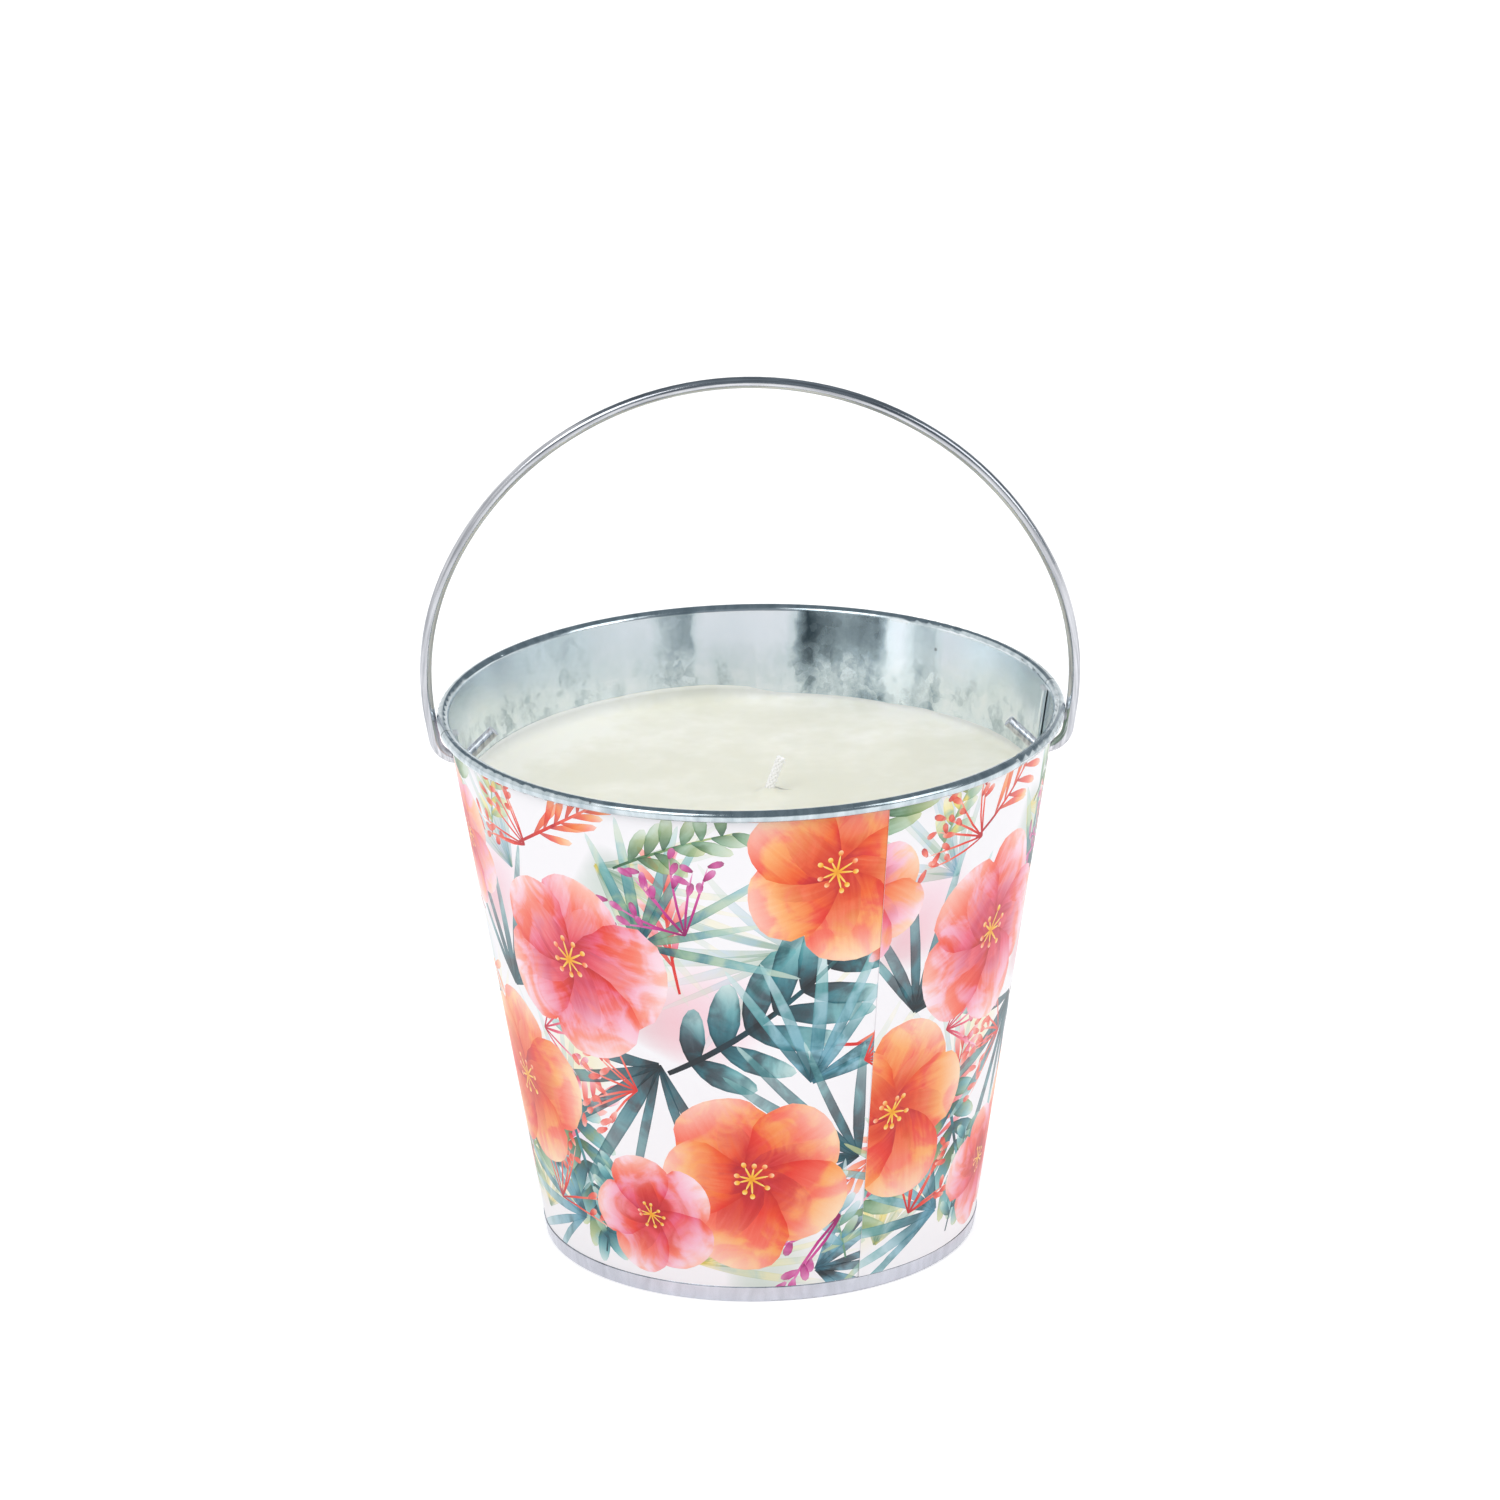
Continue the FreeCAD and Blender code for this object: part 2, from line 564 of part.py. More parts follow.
def wick_sustainer():
    body = new_body("wick_sustainer")
    top = "Size.wick_foot + Size.sustainer_sheet"
    section = draw(new_sketch(body, "sustainer_section", "XZ_Plane"), [
        ("Size.neck_bore", "Size.wick_foot"),
        ("Size.sustainer_diameter / 2", "Size.wick_foot"),
        ("Size.sustainer_diameter / 2", top),
        ("Size.neck_outside", top),
        ("Size.neck_outside", "Size.neck_top"),
        ("Size.neck_bore", "Size.neck_top"),
    ])
    revolve(body, "sustainer_sheet", section)
    return body


def wick_pad():
    body = new_body("wick_pad")
    sketch = new_sketch(body, "pad_section", "XY_Plane", "Size.floor")
    circle(sketch, "0", "Size.pad_radius")
    disc = body.newObject("PartDesign::Pad", "pad_disc")
    disc.Profile = sketch
    disc.setExpression("Length", "Size.pad_thickness")
    return body


pieces = [
    body_half("front_half", "Size.seam_angle"),
    body_half("back_half", "Size.seam_angle + 180"),
    base_pan(),
    printed_wrap(),
    wax_fill(),
    wick(),
    wick_sustainer(),
    wick_pad(),
    bail(),
]
doc.recompute()

for item in doc.Objects:
    if "Invalid" in item.State or "Error" in item.State:
        raise RuntimeError(f"{item.Label} did not build: {item.State}")
for piece in pieces:
    shape = piece.Shape
    if shape.isNull() or not shape.isValid() or len(shape.Solids) != 1:
        raise RuntimeError(f"{piece.Label} is not one sound solid")

os.makedirs("parts", exist_ok=True)
for piece in pieces:
    piece.Shape.exportStep(f"parts/{piece.Label}.step")
    box = piece.Shape.BoundBox
    print(f"{piece.Label}: {piece.Shape.Volume:.1f} mm3, "
          f"x {box.XMin:.2f} to {box.XMax:.2f}, y {box.YMin:.2f} to {box.YMax:.2f}, "
          f"z {box.ZMin:.2f} to {box.ZMax:.2f}")
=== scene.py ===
# %% [markdown]
# # A citronella candle bucket
# A small galvanised bucket with a wire bail, a printed film glued round it and a candle cast
# inside. The solid model gives every size. This file gives each piece the finish of the real
# one, and remakes the three pieces whose look lies in their surface: the print, the wax and the
# braided wick.

import math
import random
from copy import copy
from types import SimpleNamespace

import bpy
import numpy as np
from mathutils import Matrix, Vector, geometry, kdtree, noise


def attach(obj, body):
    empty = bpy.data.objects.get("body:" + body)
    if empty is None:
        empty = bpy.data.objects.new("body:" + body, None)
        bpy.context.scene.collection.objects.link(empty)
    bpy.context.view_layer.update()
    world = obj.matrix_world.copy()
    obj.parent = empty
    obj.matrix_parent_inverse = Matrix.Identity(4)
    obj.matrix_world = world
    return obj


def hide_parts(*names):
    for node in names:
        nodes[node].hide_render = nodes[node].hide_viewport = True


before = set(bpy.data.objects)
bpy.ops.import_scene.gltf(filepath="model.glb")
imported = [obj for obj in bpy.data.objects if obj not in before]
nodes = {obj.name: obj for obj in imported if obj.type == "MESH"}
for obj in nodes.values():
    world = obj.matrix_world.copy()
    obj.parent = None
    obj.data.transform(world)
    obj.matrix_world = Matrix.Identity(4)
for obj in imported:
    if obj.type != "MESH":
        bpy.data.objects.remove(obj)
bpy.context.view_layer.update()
MM = 0.001
print("pieces:", ", ".join(sorted(nodes)))


# %% [markdown]
# ## Colours and nodes
# Colours are written as on a paint card, in sRGB hex. Blender's shaders count in linear light,
# so one function turns them. A second one adds a node, sets it up and links it, which keeps each
# material readable as a list of steps.

# %% Helpers for materials
def paint(hex_code):
    """An sRGB hex colour as linear RGBA."""
    channels = [int(hex_code[i:i + 2], 16) / 255 for i in (1, 3, 5)]
    return tuple(c / 12.92 if c <= 0.04045 else ((c + 0.055) / 1.055) ** 2.4
                 for c in channels) + (1.0,)


def feed(node, *values, **named):
    """Fill a node's inputs, in order or by name: with values, sockets or whole nodes."""
    for key, value in list(enumerate(values)) + list(named.items()):
        if isinstance(key, str):
            key = int(key[1:]) if key[1:].isdigit() else key.replace("_", " ")
        if isinstance(value, bpy.types.Node):
            value = value.outputs[0]
        if isinstance(value, bpy.types.NodeSocket):
            node.id_data.links.new(value, node.inputs[key])
        else:
            node.inputs[key].default_value = value


def add(tree, kind, *values, stops=(), **named):
    """Add a node. Small names are its own settings; capitals, i2 and so on are its inputs.

    A ramp's stops are pairs of a place and a colour in hex or a grey."""
    node = tree.nodes.new(kind)
    for name in [name for name in named if name in node.bl_rna.properties]:
        setattr(node, name, named.pop(name))
    points = node.color_ramp.elements if stops else []
    while len(points) < len(stops):
        points.new(0.5)
    for point, (place, colour) in zip(points, stops):
        point.position = place
        point.color = paint(colour) if isinstance(colour, str) else (colour,) * 3 + (1.0,)
    feed(node, *values, **named)
    return node


def new_finish(name):
    """A material with an empty tree, its Principled shader and the place on the object."""
    finish = bpy.data.materials.new(name)
    finish.use_nodes = True
    tree = finish.node_tree
    tree.nodes.clear()
    shader = add(tree, "ShaderNodeBsdfPrincipled")
    add(tree, "ShaderNodeOutputMaterial", Surface=shader)
    return finish, tree, shader, add(tree, "ShaderNodeTexCoord").outputs["Object"]


def dress(node, finish):
    """Give a piece of the solid model its finish."""
    mesh = nodes[node].data
    mesh.materials.clear()
    mesh.materials.append(finish)


def show(name, mesh):
    """Put a mesh into the scene as an object of its own."""
    thing = bpy.data.objects.new(name, mesh)
    bpy.context.scene.collection.objects.link(thing)
    return thing


# %% [markdown]
# ## Studio
# The bucket stands on a white sweep in an evenly lit room. The floor's own colour stays below
# white, and a little light of its own, seen only by the camera and in reflections, brings it up
# to white, so the bucket's soft shadow still shows. In reflections the room is dim above the
# horizon, except for a backdrop behind and a large soft light on the left: so wire and rim get
# a dark upper side over a bright lower one, as in a real studio.

# %% Floor and room
def studio_rays(tree):
    """1 for rays that come from the camera, a reflection or through something clear."""
    path = add(tree, "ShaderNodeLightPath").outputs
    seen = add(tree, "ShaderNodeMath", path["Is Camera Ray"], path["Is Glossy Ray"],
               operation="MAXIMUM")
    return add(tree, "ShaderNodeMath", seen, path["Is Transmission Ray"], operation="MAXIMUM")


FLOOR_HALF = 6.0
FLOOR_COLOUR = "#e9e9ea"
FLOOR_LIFT = 0.36
ROOM_LIGHT = 0.80
# the mirrored room: its dim part above the horizon, the backdrop's height, the large light's side
HORIZON, DIM_FROM, DIM_ROOM = 0.0, 0.14, "#7a858d"
BACKDROP, LIGHT_FROM, LIGHT_FULL = 0.3, -0.4, -0.75

floor_mesh = bpy.data.meshes.new("studio_floor")
floor_mesh.from_pydata([(x * FLOOR_HALF, y * FLOOR_HALF, 0)
                        for x, y in ((-1, -1), (1, -1), (1, 1), (-1, 1))], [], [(0, 1, 2, 3)])
floor = show("studio_floor", floor_mesh)
sweep, tree, shader, place = new_finish("white_paper_sweep")
lift = add(tree, "ShaderNodeMath", studio_rays(tree), FLOOR_LIFT, operation="MULTIPLY")
feed(shader, Base_Color=paint(FLOOR_COLOUR), Roughness=0.9, Specular_IOR_Level=0.0,
     Emission_Color=(1, 1, 1, 1), Emission_Strength=lift)
floor_mesh.materials.append(sweep)

room = bpy.data.worlds.new("white_room")
bpy.context.scene.world = room
room.use_nodes = True
tree = room.node_tree
tree.nodes.clear()
direction = add(tree, "ShaderNodeSeparateXYZ",
                add(tree, "ShaderNodeTexCoord").outputs["Generated"]).outputs
backdrop = add(tree, "ShaderNodeMapRange", direction["Y"], To_Max=BACKDROP)
left_light = add(tree, "ShaderNodeMapRange", direction["X"], From_Min=LIGHT_FROM,
                 From_Max=LIGHT_FULL, interpolation_type="SMOOTHSTEP")
white_height = add(tree, "ShaderNodeMath", backdrop, left_light, operation="ADD")
higher = add(tree, "ShaderNodeMath", direction["Z"], white_height, operation="SUBTRACT")
above = add(tree, "ShaderNodeMapRange", higher, From_Min=HORIZON, From_Max=DIM_FROM,
            interpolation_type="SMOOTHSTEP")
# only the first reflection sees the dim room: the wax that the wall mirrors stays bright
path = add(tree, "ShaderNodeLightPath").outputs
first = add(tree, "ShaderNodeMath", path["Ray Depth"], 2.5, operation="LESS_THAN")
mirrored = add(tree, "ShaderNodeMath", path["Is Glossy Ray"], first, operation="MULTIPLY")
mirrored = add(tree, "ShaderNodeMath", above, mirrored, operation="MULTIPLY")
room_colour = add(tree, "ShaderNodeMix", mirrored, i6=(1, 1, 1, 1), i7=paint(DIM_ROOM),
                  data_type="RGBA")
strength = add(tree, "ShaderNodeMix", studio_rays(tree), i2=ROOM_LIGHT, i3=1.0)
background = add(tree, "ShaderNodeBackground", room_colour.outputs[2], strength)
add(tree, "ShaderNodeOutputWorld", background)
print("floor", FLOOR_HALF * 2, "m across, room light", ROOM_LIGHT)


# %% [markdown]
# ## Lamps
# Large soft panels: a main one high on the left in front, a weaker one on the right, one
# overhead that fills the bucket, and a weak one behind that lights the wax from the far side.

# %% Lamps
AIM = Vector((0.0, 0.0, 0.08))


def soft_panel(name, place, width, height, power):
    lamp = bpy.data.lights.new(name, "AREA")
    lamp.shape = "RECTANGLE"
    lamp.size, lamp.size_y, lamp.energy = width, height, power
    panel = bpy.data.objects.new(name, lamp)
    panel.location = place
    panel.rotation_euler = (Vector(place) - AIM).to_track_quat("Z", "Y").to_euler()
    panel.visible_camera = False
    bpy.context.scene.collection.objects.link(panel)
    return panel


soft_panel("main_panel", (-0.9, -1.1, 1.3), 0.9, 0.9, 8.0)
soft_panel("fill_panel", (1.2, -0.6, 0.9), 0.7, 0.9, 4.0)
soft_panel("back_panel", (0.1, 1.6, 0.75), 0.25, 0.6, 1.0).visible_glossy = False
soft_panel("top_panel", (0.2, 0.2, 1.9), 1.2, 1.2, 5.0).visible_glossy = False
print("lamps: 4")


# %% [markdown]
# ## Camera
# A long lens from 2.2 m, looking down at 19.9 degrees and rolled by 1.1: fitted to the rim, the
# base and the bail as the photograph shows them.

# %% Camera
FOCAL_PIXELS, FRAME_PIXELS, SENSOR = 9316.45, 1500, 36.0
ELEVATION, ROLL = math.radians(19.867), math.radians(-1.099)
DISTANCE, TARGET = 2.2263, Vector((-0.000402, 0.0, 0.120906))

back = Vector((0, -math.cos(ELEVATION), math.sin(ELEVATION)))
level_up = Vector((1, 0, 0)).cross(-back)
across = math.cos(ROLL) * Vector((1, 0, 0)) + math.sin(ROLL) * level_up
upright = -math.sin(ROLL) * Vector((1, 0, 0)) + math.cos(ROLL) * level_up
lens = bpy.data.cameras.new("photo_camera")
lens.sensor_width, lens.lens = SENSOR, SENSOR * FOCAL_PIXELS / FRAME_PIXELS
lens.clip_end = 20
camera = bpy.data.objects.new("photo_camera", lens)
camera.matrix_world = Matrix.Translation(TARGET + back * DISTANCE) @ Matrix(
    (across, upright, back)).transposed().to_4x4()
bpy.context.scene.collection.objects.link(camera)
bpy.context.scene.camera = camera
bpy.context.scene.view_settings.view_transform = "Standard"
print("lens", round(lens.lens, 1), "mm")


# %% [markdown]
# ## Galvanised sheet
# Hot-dipped zinc on steel. The eye knows it by its cloudy grey spangle of crystals a few
# millimetres across and small dark specks. Its soft upright bands of light and dark round the
# wall are painted reflections of the room. All of it could be one picture wrapped round the
# wall. Here it is worked out from the place on the object, so that the two halves, the rim and
# the base share one sheet without a seam.

# %% Galvanised sheet
# painted reflections: tone of the light and dark upright bands round the wall, at degrees
# from the bail's right-hand end
PAINTED_REFLECTION_BANDS = [(-180, 0.62), (-155, 0.7), (-132, 0.5), (-104, 0.7), (-78, 0.5), (-50, 0.7),
              (-20, 0.6), (8, 0.62), (40, 0.6), (43, 0.82), (48, 0.88), (50, 0.42), (56, 0.45),
              (57, 0.9), (60, 0.75), (62.5, 0.1), (70, 0.2), (78, 0.02), (81, 0.9), (91, 1.0),
              (98, 0.9), (100, 0.25), (105, 0.35), (108, 0.8), (119, 0.72), (124, 0.45),
              (134, 0.5), (145, 0.66), (165, 0.6), (180, 0.62)]
# the bead's reach from the axis, and the heights over which the painted reflection bands grow
# strong
BEAD_REACH, REFLECTION_LOW, REFLECTION_HIGH = 72.3 * MM, 117 * MM, 126 * MM


def galvanised(name, stops, reflection_share, cloud_share):
    """Zinc with its spangle and clouds, painted reflection bands, a smooth rim and specks."""
    finish, tree, shader, place = new_finish(name)
    wobble = add(tree, "ShaderNodeTexNoise", place, Scale=1 / (5 * MM), Detail=3.0)
    bent = add(tree, "ShaderNodeVectorMath", wobble.outputs["Color"], (4 * MM,) * 3, place,
               operation="MULTIPLY_ADD")
    crystals = add(tree, "ShaderNodeTexVoronoi", bent, Scale=1 / (2.6 * MM))
    crystal_tone = add(tree, "ShaderNodeSeparateColor", crystals.outputs["Color"])
    clouds = add(tree, "ShaderNodeTexNoise", place, Scale=1 / (11 * MM), Detail=8.0,
                 Roughness=0.68)
    parts = add(tree, "ShaderNodeSeparateXYZ", bent).outputs
    level_place = add(tree, "ShaderNodeVectorMath", place, (1.0, 1.0, 0.0), operation="MULTIPLY")
    reach = add(tree, "ShaderNodeVectorMath", level_place, operation="LENGTH").outputs["Value"]
    turn = add(tree, "ShaderNodeMath", parts["Y"], parts["X"], operation="ARCTAN2")
    share = add(tree, "ShaderNodeMapRange", turn, From_Min=-math.pi, From_Max=math.pi)
    # painted reflections: upright bands of light and dark by the angle round the wall
    reflection_bands = add(tree, "ShaderNodeValToRGB", share,
                stops=[((angle + 180) / 360, tone) for angle, tone in PAINTED_REFLECTION_BANDS])
    # the rolls' finer marks: noise drawn out up the wall
    upward = add(tree, "ShaderNodeMath", parts["Z"], 2.0, operation="MULTIPLY")
    round_wall = add(tree, "ShaderNodeCombineXYZ", turn, upward)
    marks = add(tree, "ShaderNodeTexNoise", round_wall, Scale=22.0, Detail=5.0,
                noise_dimensions="2D")
    tone = add(tree, "ShaderNodeMath", crystal_tone, 0.15, clouds, operation="MULTIPLY_ADD")
    tone = add(tree, "ShaderNodeMapRange", tone, From_Min=0.3, From_Max=0.9)
    tone = add(tree, "ShaderNodeMix", cloud_share, i2=marks, i3=tone)
    # painted reflections: the bands are strong high on the wall and fade lower down, towards the
    # wax
    upper = add(tree, "ShaderNodeMapRange", add(tree, "ShaderNodeSeparateXYZ", place).outputs["Z"],
                From_Min=REFLECTION_LOW, From_Max=REFLECTION_HIGH, To_Min=0.4 * reflection_share,
                To_Max=1.3 * reflection_share, interpolation_type="SMOOTHSTEP")
    mixed = add(tree, "ShaderNodeMix", upper, i2=tone, i3=reflection_bands)
    # rolling the rim stretches the spangle away and leaves a smooth, bright bead
    rolled = add(tree, "ShaderNodeMapRange", reach, From_Min=BEAD_REACH - 0.2 * MM,
                 From_Max=BEAD_REACH)
    smooth = add(tree, "ShaderNodeMath", marks, 0.3, 0.24, operation="MULTIPLY_ADD")
    mixed = add(tree, "ShaderNodeMix", rolled, i2=mixed, i3=smooth)
    # specks where the zinc did not take
    specks = add(tree, "ShaderNodeTexVoronoi", place, Scale=1 / (9 * MM))
    speck = add(tree, "ShaderNodeMapRange", specks, From_Min=0.035, From_Max=0.06, To_Min=0.45,
                To_Max=1.0)
    colour = add(tree, "ShaderNodeValToRGB", mixed, stops=stops)
    colour = add(tree, "ShaderNodeVectorMath", colour, Scale=speck, operation="SCALE")
    rough = add(tree, "ShaderNodeMapRange", mixed, To_Min=0.3, To_Max=0.16)
    rough = add(tree, "ShaderNodeMix", rolled, i2=rough, i3=0.17)
    relief = add(tree, "ShaderNodeBump", Height=clouds, Strength=0.1, Distance=0.2 * MM)
    feed(shader, Base_Color=colour, Metallic=1.0, Roughness=rough, Normal=relief)
    return finish


# the third number is how strong the painted reflection bands are, the fourth the clouds' share
body_zinc = galvanised("galvanised_steel_sheet", [(0.1, "#3f4c54"), (0.3, "#a0afb6"),
                                                  (0.52, "#e2ebef"), (0.85, "#f8f9fd")], 0.6, 0.7)
base_zinc = galvanised("galvanised_steel_base", [(0.1, "#b2b4bd"), (0.9, "#d6d7e0")], 0.1, 0.3)
for piece, finish in (("front_half", body_zinc), ("back_half", body_zinc), ("base_pan", base_zinc)):
    dress(piece, finish)
print("galvanised: front_half, back_half, base_pan;", len(PAINTED_REFLECTION_BANDS), "band stops")


# %% [markdown]
# ## Wire bail
# Drawn steel wire with a bright zinc plating. Drawing leaves fine lines along the wire. The bail
# is nearly one arc, so a noise in polar coordinates about that arc's centre, squeezed flat along
# the arc, gives lines that run with the wire.

# %% Wire bail
wire_points = np.array([v.co for v in nodes["bail"].data.vertices]) / MM
wire_width = np.ptp(wire_points[:, 0])
ARC_CENTRE = (wire_points[:, 2].max() - wire_width / 2) * MM
SCUFF = Vector((30.6, -1.0, 213.6)) * MM

wire_zinc, tree, shader, place = new_finish("bright_zinc_plated_wire")
parts = add(tree, "ShaderNodeSeparateXYZ", place).outputs
rise = add(tree, "ShaderNodeMath", parts["Z"], ARC_CENTRE, operation="SUBTRACT")
turn = add(tree, "ShaderNodeMath", parts["X"], rise, operation="ARCTAN2")
flat = add(tree, "ShaderNodeCombineXYZ", parts["X"], rise)
reach = add(tree, "ShaderNodeVectorMath", flat, operation="LENGTH").outputs["Value"]
along = add(tree, "ShaderNodeMath", turn, 3 * MM, operation="MULTIPLY")
lines = add(tree, "ShaderNodeCombineXYZ", reach, parts["Y"], along)
drawn = add(tree, "ShaderNodeTexNoise", lines, Scale=1 / (0.7 * MM), Detail=4.0)
blotches = add(tree, "ShaderNodeTexNoise", place, Scale=1 / (12 * MM), Detail=4.0)
tone = add(tree, "ShaderNodeMath", blotches, 0.3, drawn, operation="MULTIPLY_ADD")
colour = add(tree, "ShaderNodeValToRGB", tone, stops=[(0.4, "#8d9096"), (0.55, "#a9abb1"),
                                                      (0.7, "#c1c3c8"), (0.85, "#d8d9de")])
# a scuff on the right of the crown, where the plating is rubbed dull
apart = add(tree, "ShaderNodeVectorMath", place, SCUFF, operation="DISTANCE").outputs["Value"]
rubbed = add(tree, "ShaderNodeMapRange", apart, From_Min=1.2 * MM, From_Max=3.2 * MM, To_Min=0.4,
             To_Max=1.0, interpolation_type="SMOOTHSTEP")
colour = add(tree, "ShaderNodeVectorMath", colour, Scale=rubbed, operation="SCALE")
rough = add(tree, "ShaderNodeMapRange", drawn, From_Min=0.3, From_Max=0.7, To_Min=0.12,
            To_Max=0.22)
relief = add(tree, "ShaderNodeBump", Height=drawn, Strength=0.03, Distance=0.05 * MM)
feed(shader, Base_Color=colour, Metallic=1.0, Roughness=rough, Normal=relief)
dress("bail", wire_zinc)
print(f"bail: arc about z {ARC_CENTRE / MM:.1f} mm")


# %% [markdown]
# ## Wax
# Wax is poured hot and shrinks as it sets: it clings to the wall in an uneven low edge, dips a
# little, and stays up in a small cone round the wick. A sheet of rings round the bucket's axis
# is easy to shape like that: each point's height comes from its distance to wall and wick. The
# rest of the block is closed below, with a groove for each of the wall's two seams.

# %% The cast block, measured on the solid
SEAM_TURN = 9.5
NOTCH_LOW, NOTCH_HIGH, NOTCH_DEPTH = -2.1, 2.55, 1.4
# how far the wax clings out from the wall, and the flat part of that edge
MENISCUS, EDGE = 2.5, 0.3
# how high it clings, at degrees from the bail's right-hand end: high at the back left
EDGE_RISES = [(-180, 2.6), (-140, 2.2), (-90, 2.5), (-40, 2.0), (0, 2.2), (35, 1.7), (60, 1.1),
              (86, 1.3), (91, 3.0), (100, 3.9), (125, 3.6), (150, 3.1), (180, 2.6)]
# unevennesses of the surface: height in mm, waves per mm, seed
SWELLS = [(0.22, 0.045, 3), (0.08, 0.2, 9)]
WICK_PLACE, WICK_RADIUS = (3.945, 0.66), 1.1
CONE_HEIGHT, CONE_REACH = 1.5, 1.3

wax_points = np.array([v.co for v in nodes["wax_fill"].data.vertices]) / MM
wax_low, wax_high = wax_points[:, 2].min(), wax_points[:, 2].max()
WAX_LEVEL = wax_high - MENISCUS
wax_radius = [np.hypot(*wax_points[abs(wax_points[:, 2] - level) < 0.1].T[:2]).max()
              for level in (wax_low, wax_high)]
print(f"wax {wax_low:.1f} to {wax_high:.1f} mm, radius {wax_radius[0]:.2f} to {wax_radius[1]:.2f}")


def wax_reach(turn, height):
    """Radius of the block in a direction, in degrees from a seam, with that seam's groove."""
    reach = np.interp(height, (wax_low, wax_high), wax_radius)
    side = (turn + 90) % 180 - 90
    across = reach * math.sin(math.radians(side))
    if NOTCH_LOW < across < NOTCH_HIGH:
        reach = min(reach, (reach - NOTCH_DEPTH) / math.cos(math.radians(side)))
    return reach


def edge_rise(angle):
    """How high the wax clings to the wall, in a direction in degrees."""
    around = math.radians(angle)
    wave = noise.noise(Vector((math.cos(around), math.sin(around), 7)) * 9)
    return np.interp(angle, *zip(*EDGE_RISES)) + 0.25 * wave


def wax_height(x, y, gap, rise):
    """Height of the wax's surface at a place whose distance to the wall is gap."""
    swell = sum(height * noise.noise(Vector((x, y, seed)) * pace)
                for height, pace, seed in SWELLS)
    wick_gap = math.hypot(x - WICK_PLACE[0], y - WICK_PLACE[1])
    cone = CONE_HEIGHT * math.exp(-max(wick_gap - WICK_RADIUS, 0) / CONE_REACH)
    cling = 0.0
    if gap < MENISCUS + EDGE:
        bend = max(MENISCUS - max(gap - EDGE, 0), 0) / MENISCUS
        cling = rise * (1 - math.sqrt(max(1 - bend * bend, 0)))
    return WAX_LEVEL + (swell if gap > 0.2 else 0) + cone + cling


# %% Lay the rings and close the block
seam_edges = [math.degrees(math.asin(edge / wax_radius[1])) for edge in (NOTCH_LOW, NOTCH_HIGH)]
turns = set(np.arange(0, 360, 3.0).tolist())
for seam in (0, 180):
    for edge in seam_edges:
        turns |= {(seam + edge - 0.03) % 360, (seam + edge + 0.03) % 360}
turns = sorted(turns)
gaps = [0, 0.1, EDGE, 0.4, 0.6, 0.9, 1.3, 1.8, 2.3, 2.8, 3.6] + list(np.arange(5, 68, 1.75))
corners, faces = [], []
for gap in gaps:
    for turn in turns:
        angle = (turn + SEAM_TURN + 180) % 360 - 180
        reach = wax_reach(turn, wax_high) - gap
        x, y = reach * math.cos(math.radians(angle)), reach * math.sin(math.radians(angle))
        corners.append((x, y, wax_height(x, y, gap, edge_rise(angle))))
count, hub = len(turns), len(corners)
pairs = [(step, (step + 1) % count) for step in range(count)]
for ring in range(0, hub - count, count):
    faces += [(ring + one, ring + two, ring + count + two, ring + count + one)
              for one, two in pairs]
corners.append((0, 0, wax_height(0, 0, 50, 0)))
faces += [(hub - count + one, hub - count + two, hub) for one, two in pairs]
foot = len(corners)
for turn in turns:
    angle = math.radians(turn + SEAM_TURN)
    reach = wax_reach(turn, wax_low)
    corners.append((reach * math.cos(angle), reach * math.sin(angle), wax_low))
faces += [(one, foot + one, foot + two, two) for one, two in pairs]
faces.append(tuple(foot + step for step in reversed(range(count))))

wax_mesh = bpy.data.meshes.new("cast_wax")
wax_mesh.from_pydata([Vector(corner) * MM for corner in corners], [], faces)
wax_mesh.polygons.foreach_set("use_smooth", [len(face) != count for face in faces])
cast_wax = show("cast_wax", wax_mesh)
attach(cast_wax, "bucket")
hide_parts("wax_fill")
print("cast wax:", len(faces), "faces")


# %% [markdown]
# Candle wax is cloudy and lets light in a few millimetres, so it looks soft and its shadows are
# pale. Its surface is a dull gloss with faint whiter patches. Towards the wall it is painted
# lighter: painted light against the shade that the wall casts on it.

# %% Wax finish
candle_wax, tree, shader, place = new_finish("citronella_candle_wax")
patches = add(tree, "ShaderNodeTexNoise", place, Scale=1 / (24 * MM), Detail=3.0)
mottle = add(tree, "ShaderNodeTexNoise", place, Scale=1 / (3 * MM), Detail=4.0)
tone = add(tree, "ShaderNodeMath", mottle, 0.25, patches, operation="MULTIPLY_ADD")
# painted light: towards the wall the wax is lighter, against the shade the wall casts on it
flat = add(tree, "ShaderNodeVectorMath", place, (1.0, 1.0, 0.0), operation="MULTIPLY")
reach = add(tree, "ShaderNodeVectorMath", flat, operation="LENGTH").outputs["Value"]
wall_painted_light = add(tree, "ShaderNodeMapRange", reach, From_Min=30 * MM, From_Max=70 * MM, To_Max=0.3)
tone = add(tree, "ShaderNodeMath", tone, wall_painted_light, operation="ADD")
colour = add(tree, "ShaderNodeValToRGB", tone, stops=[(0.45, "#dedecf"), (0.62, "#e0e0d2"),
                                                      (0.8, "#e6e6da"), (0.95, "#edede4")])
rough = add(tree, "ShaderNodeMapRange", mottle, To_Min=0.42, To_Max=0.6)
relief = add(tree, "ShaderNodeBump", Height=mottle, Strength=0.2, Distance=0.08 * MM)
feed(shader, Base_Color=colour, Roughness=rough, Normal=relief, IOR=1.44, Specular_IOR_Level=0.3,
     Subsurface_Weight=0.4, Subsurface_Radius=(1.0, 0.85, 0.6), Subsurface_Scale=3 * MM)
wax_mesh.materials.append(candle_wax)
print("wax: 4 tones of ivory")


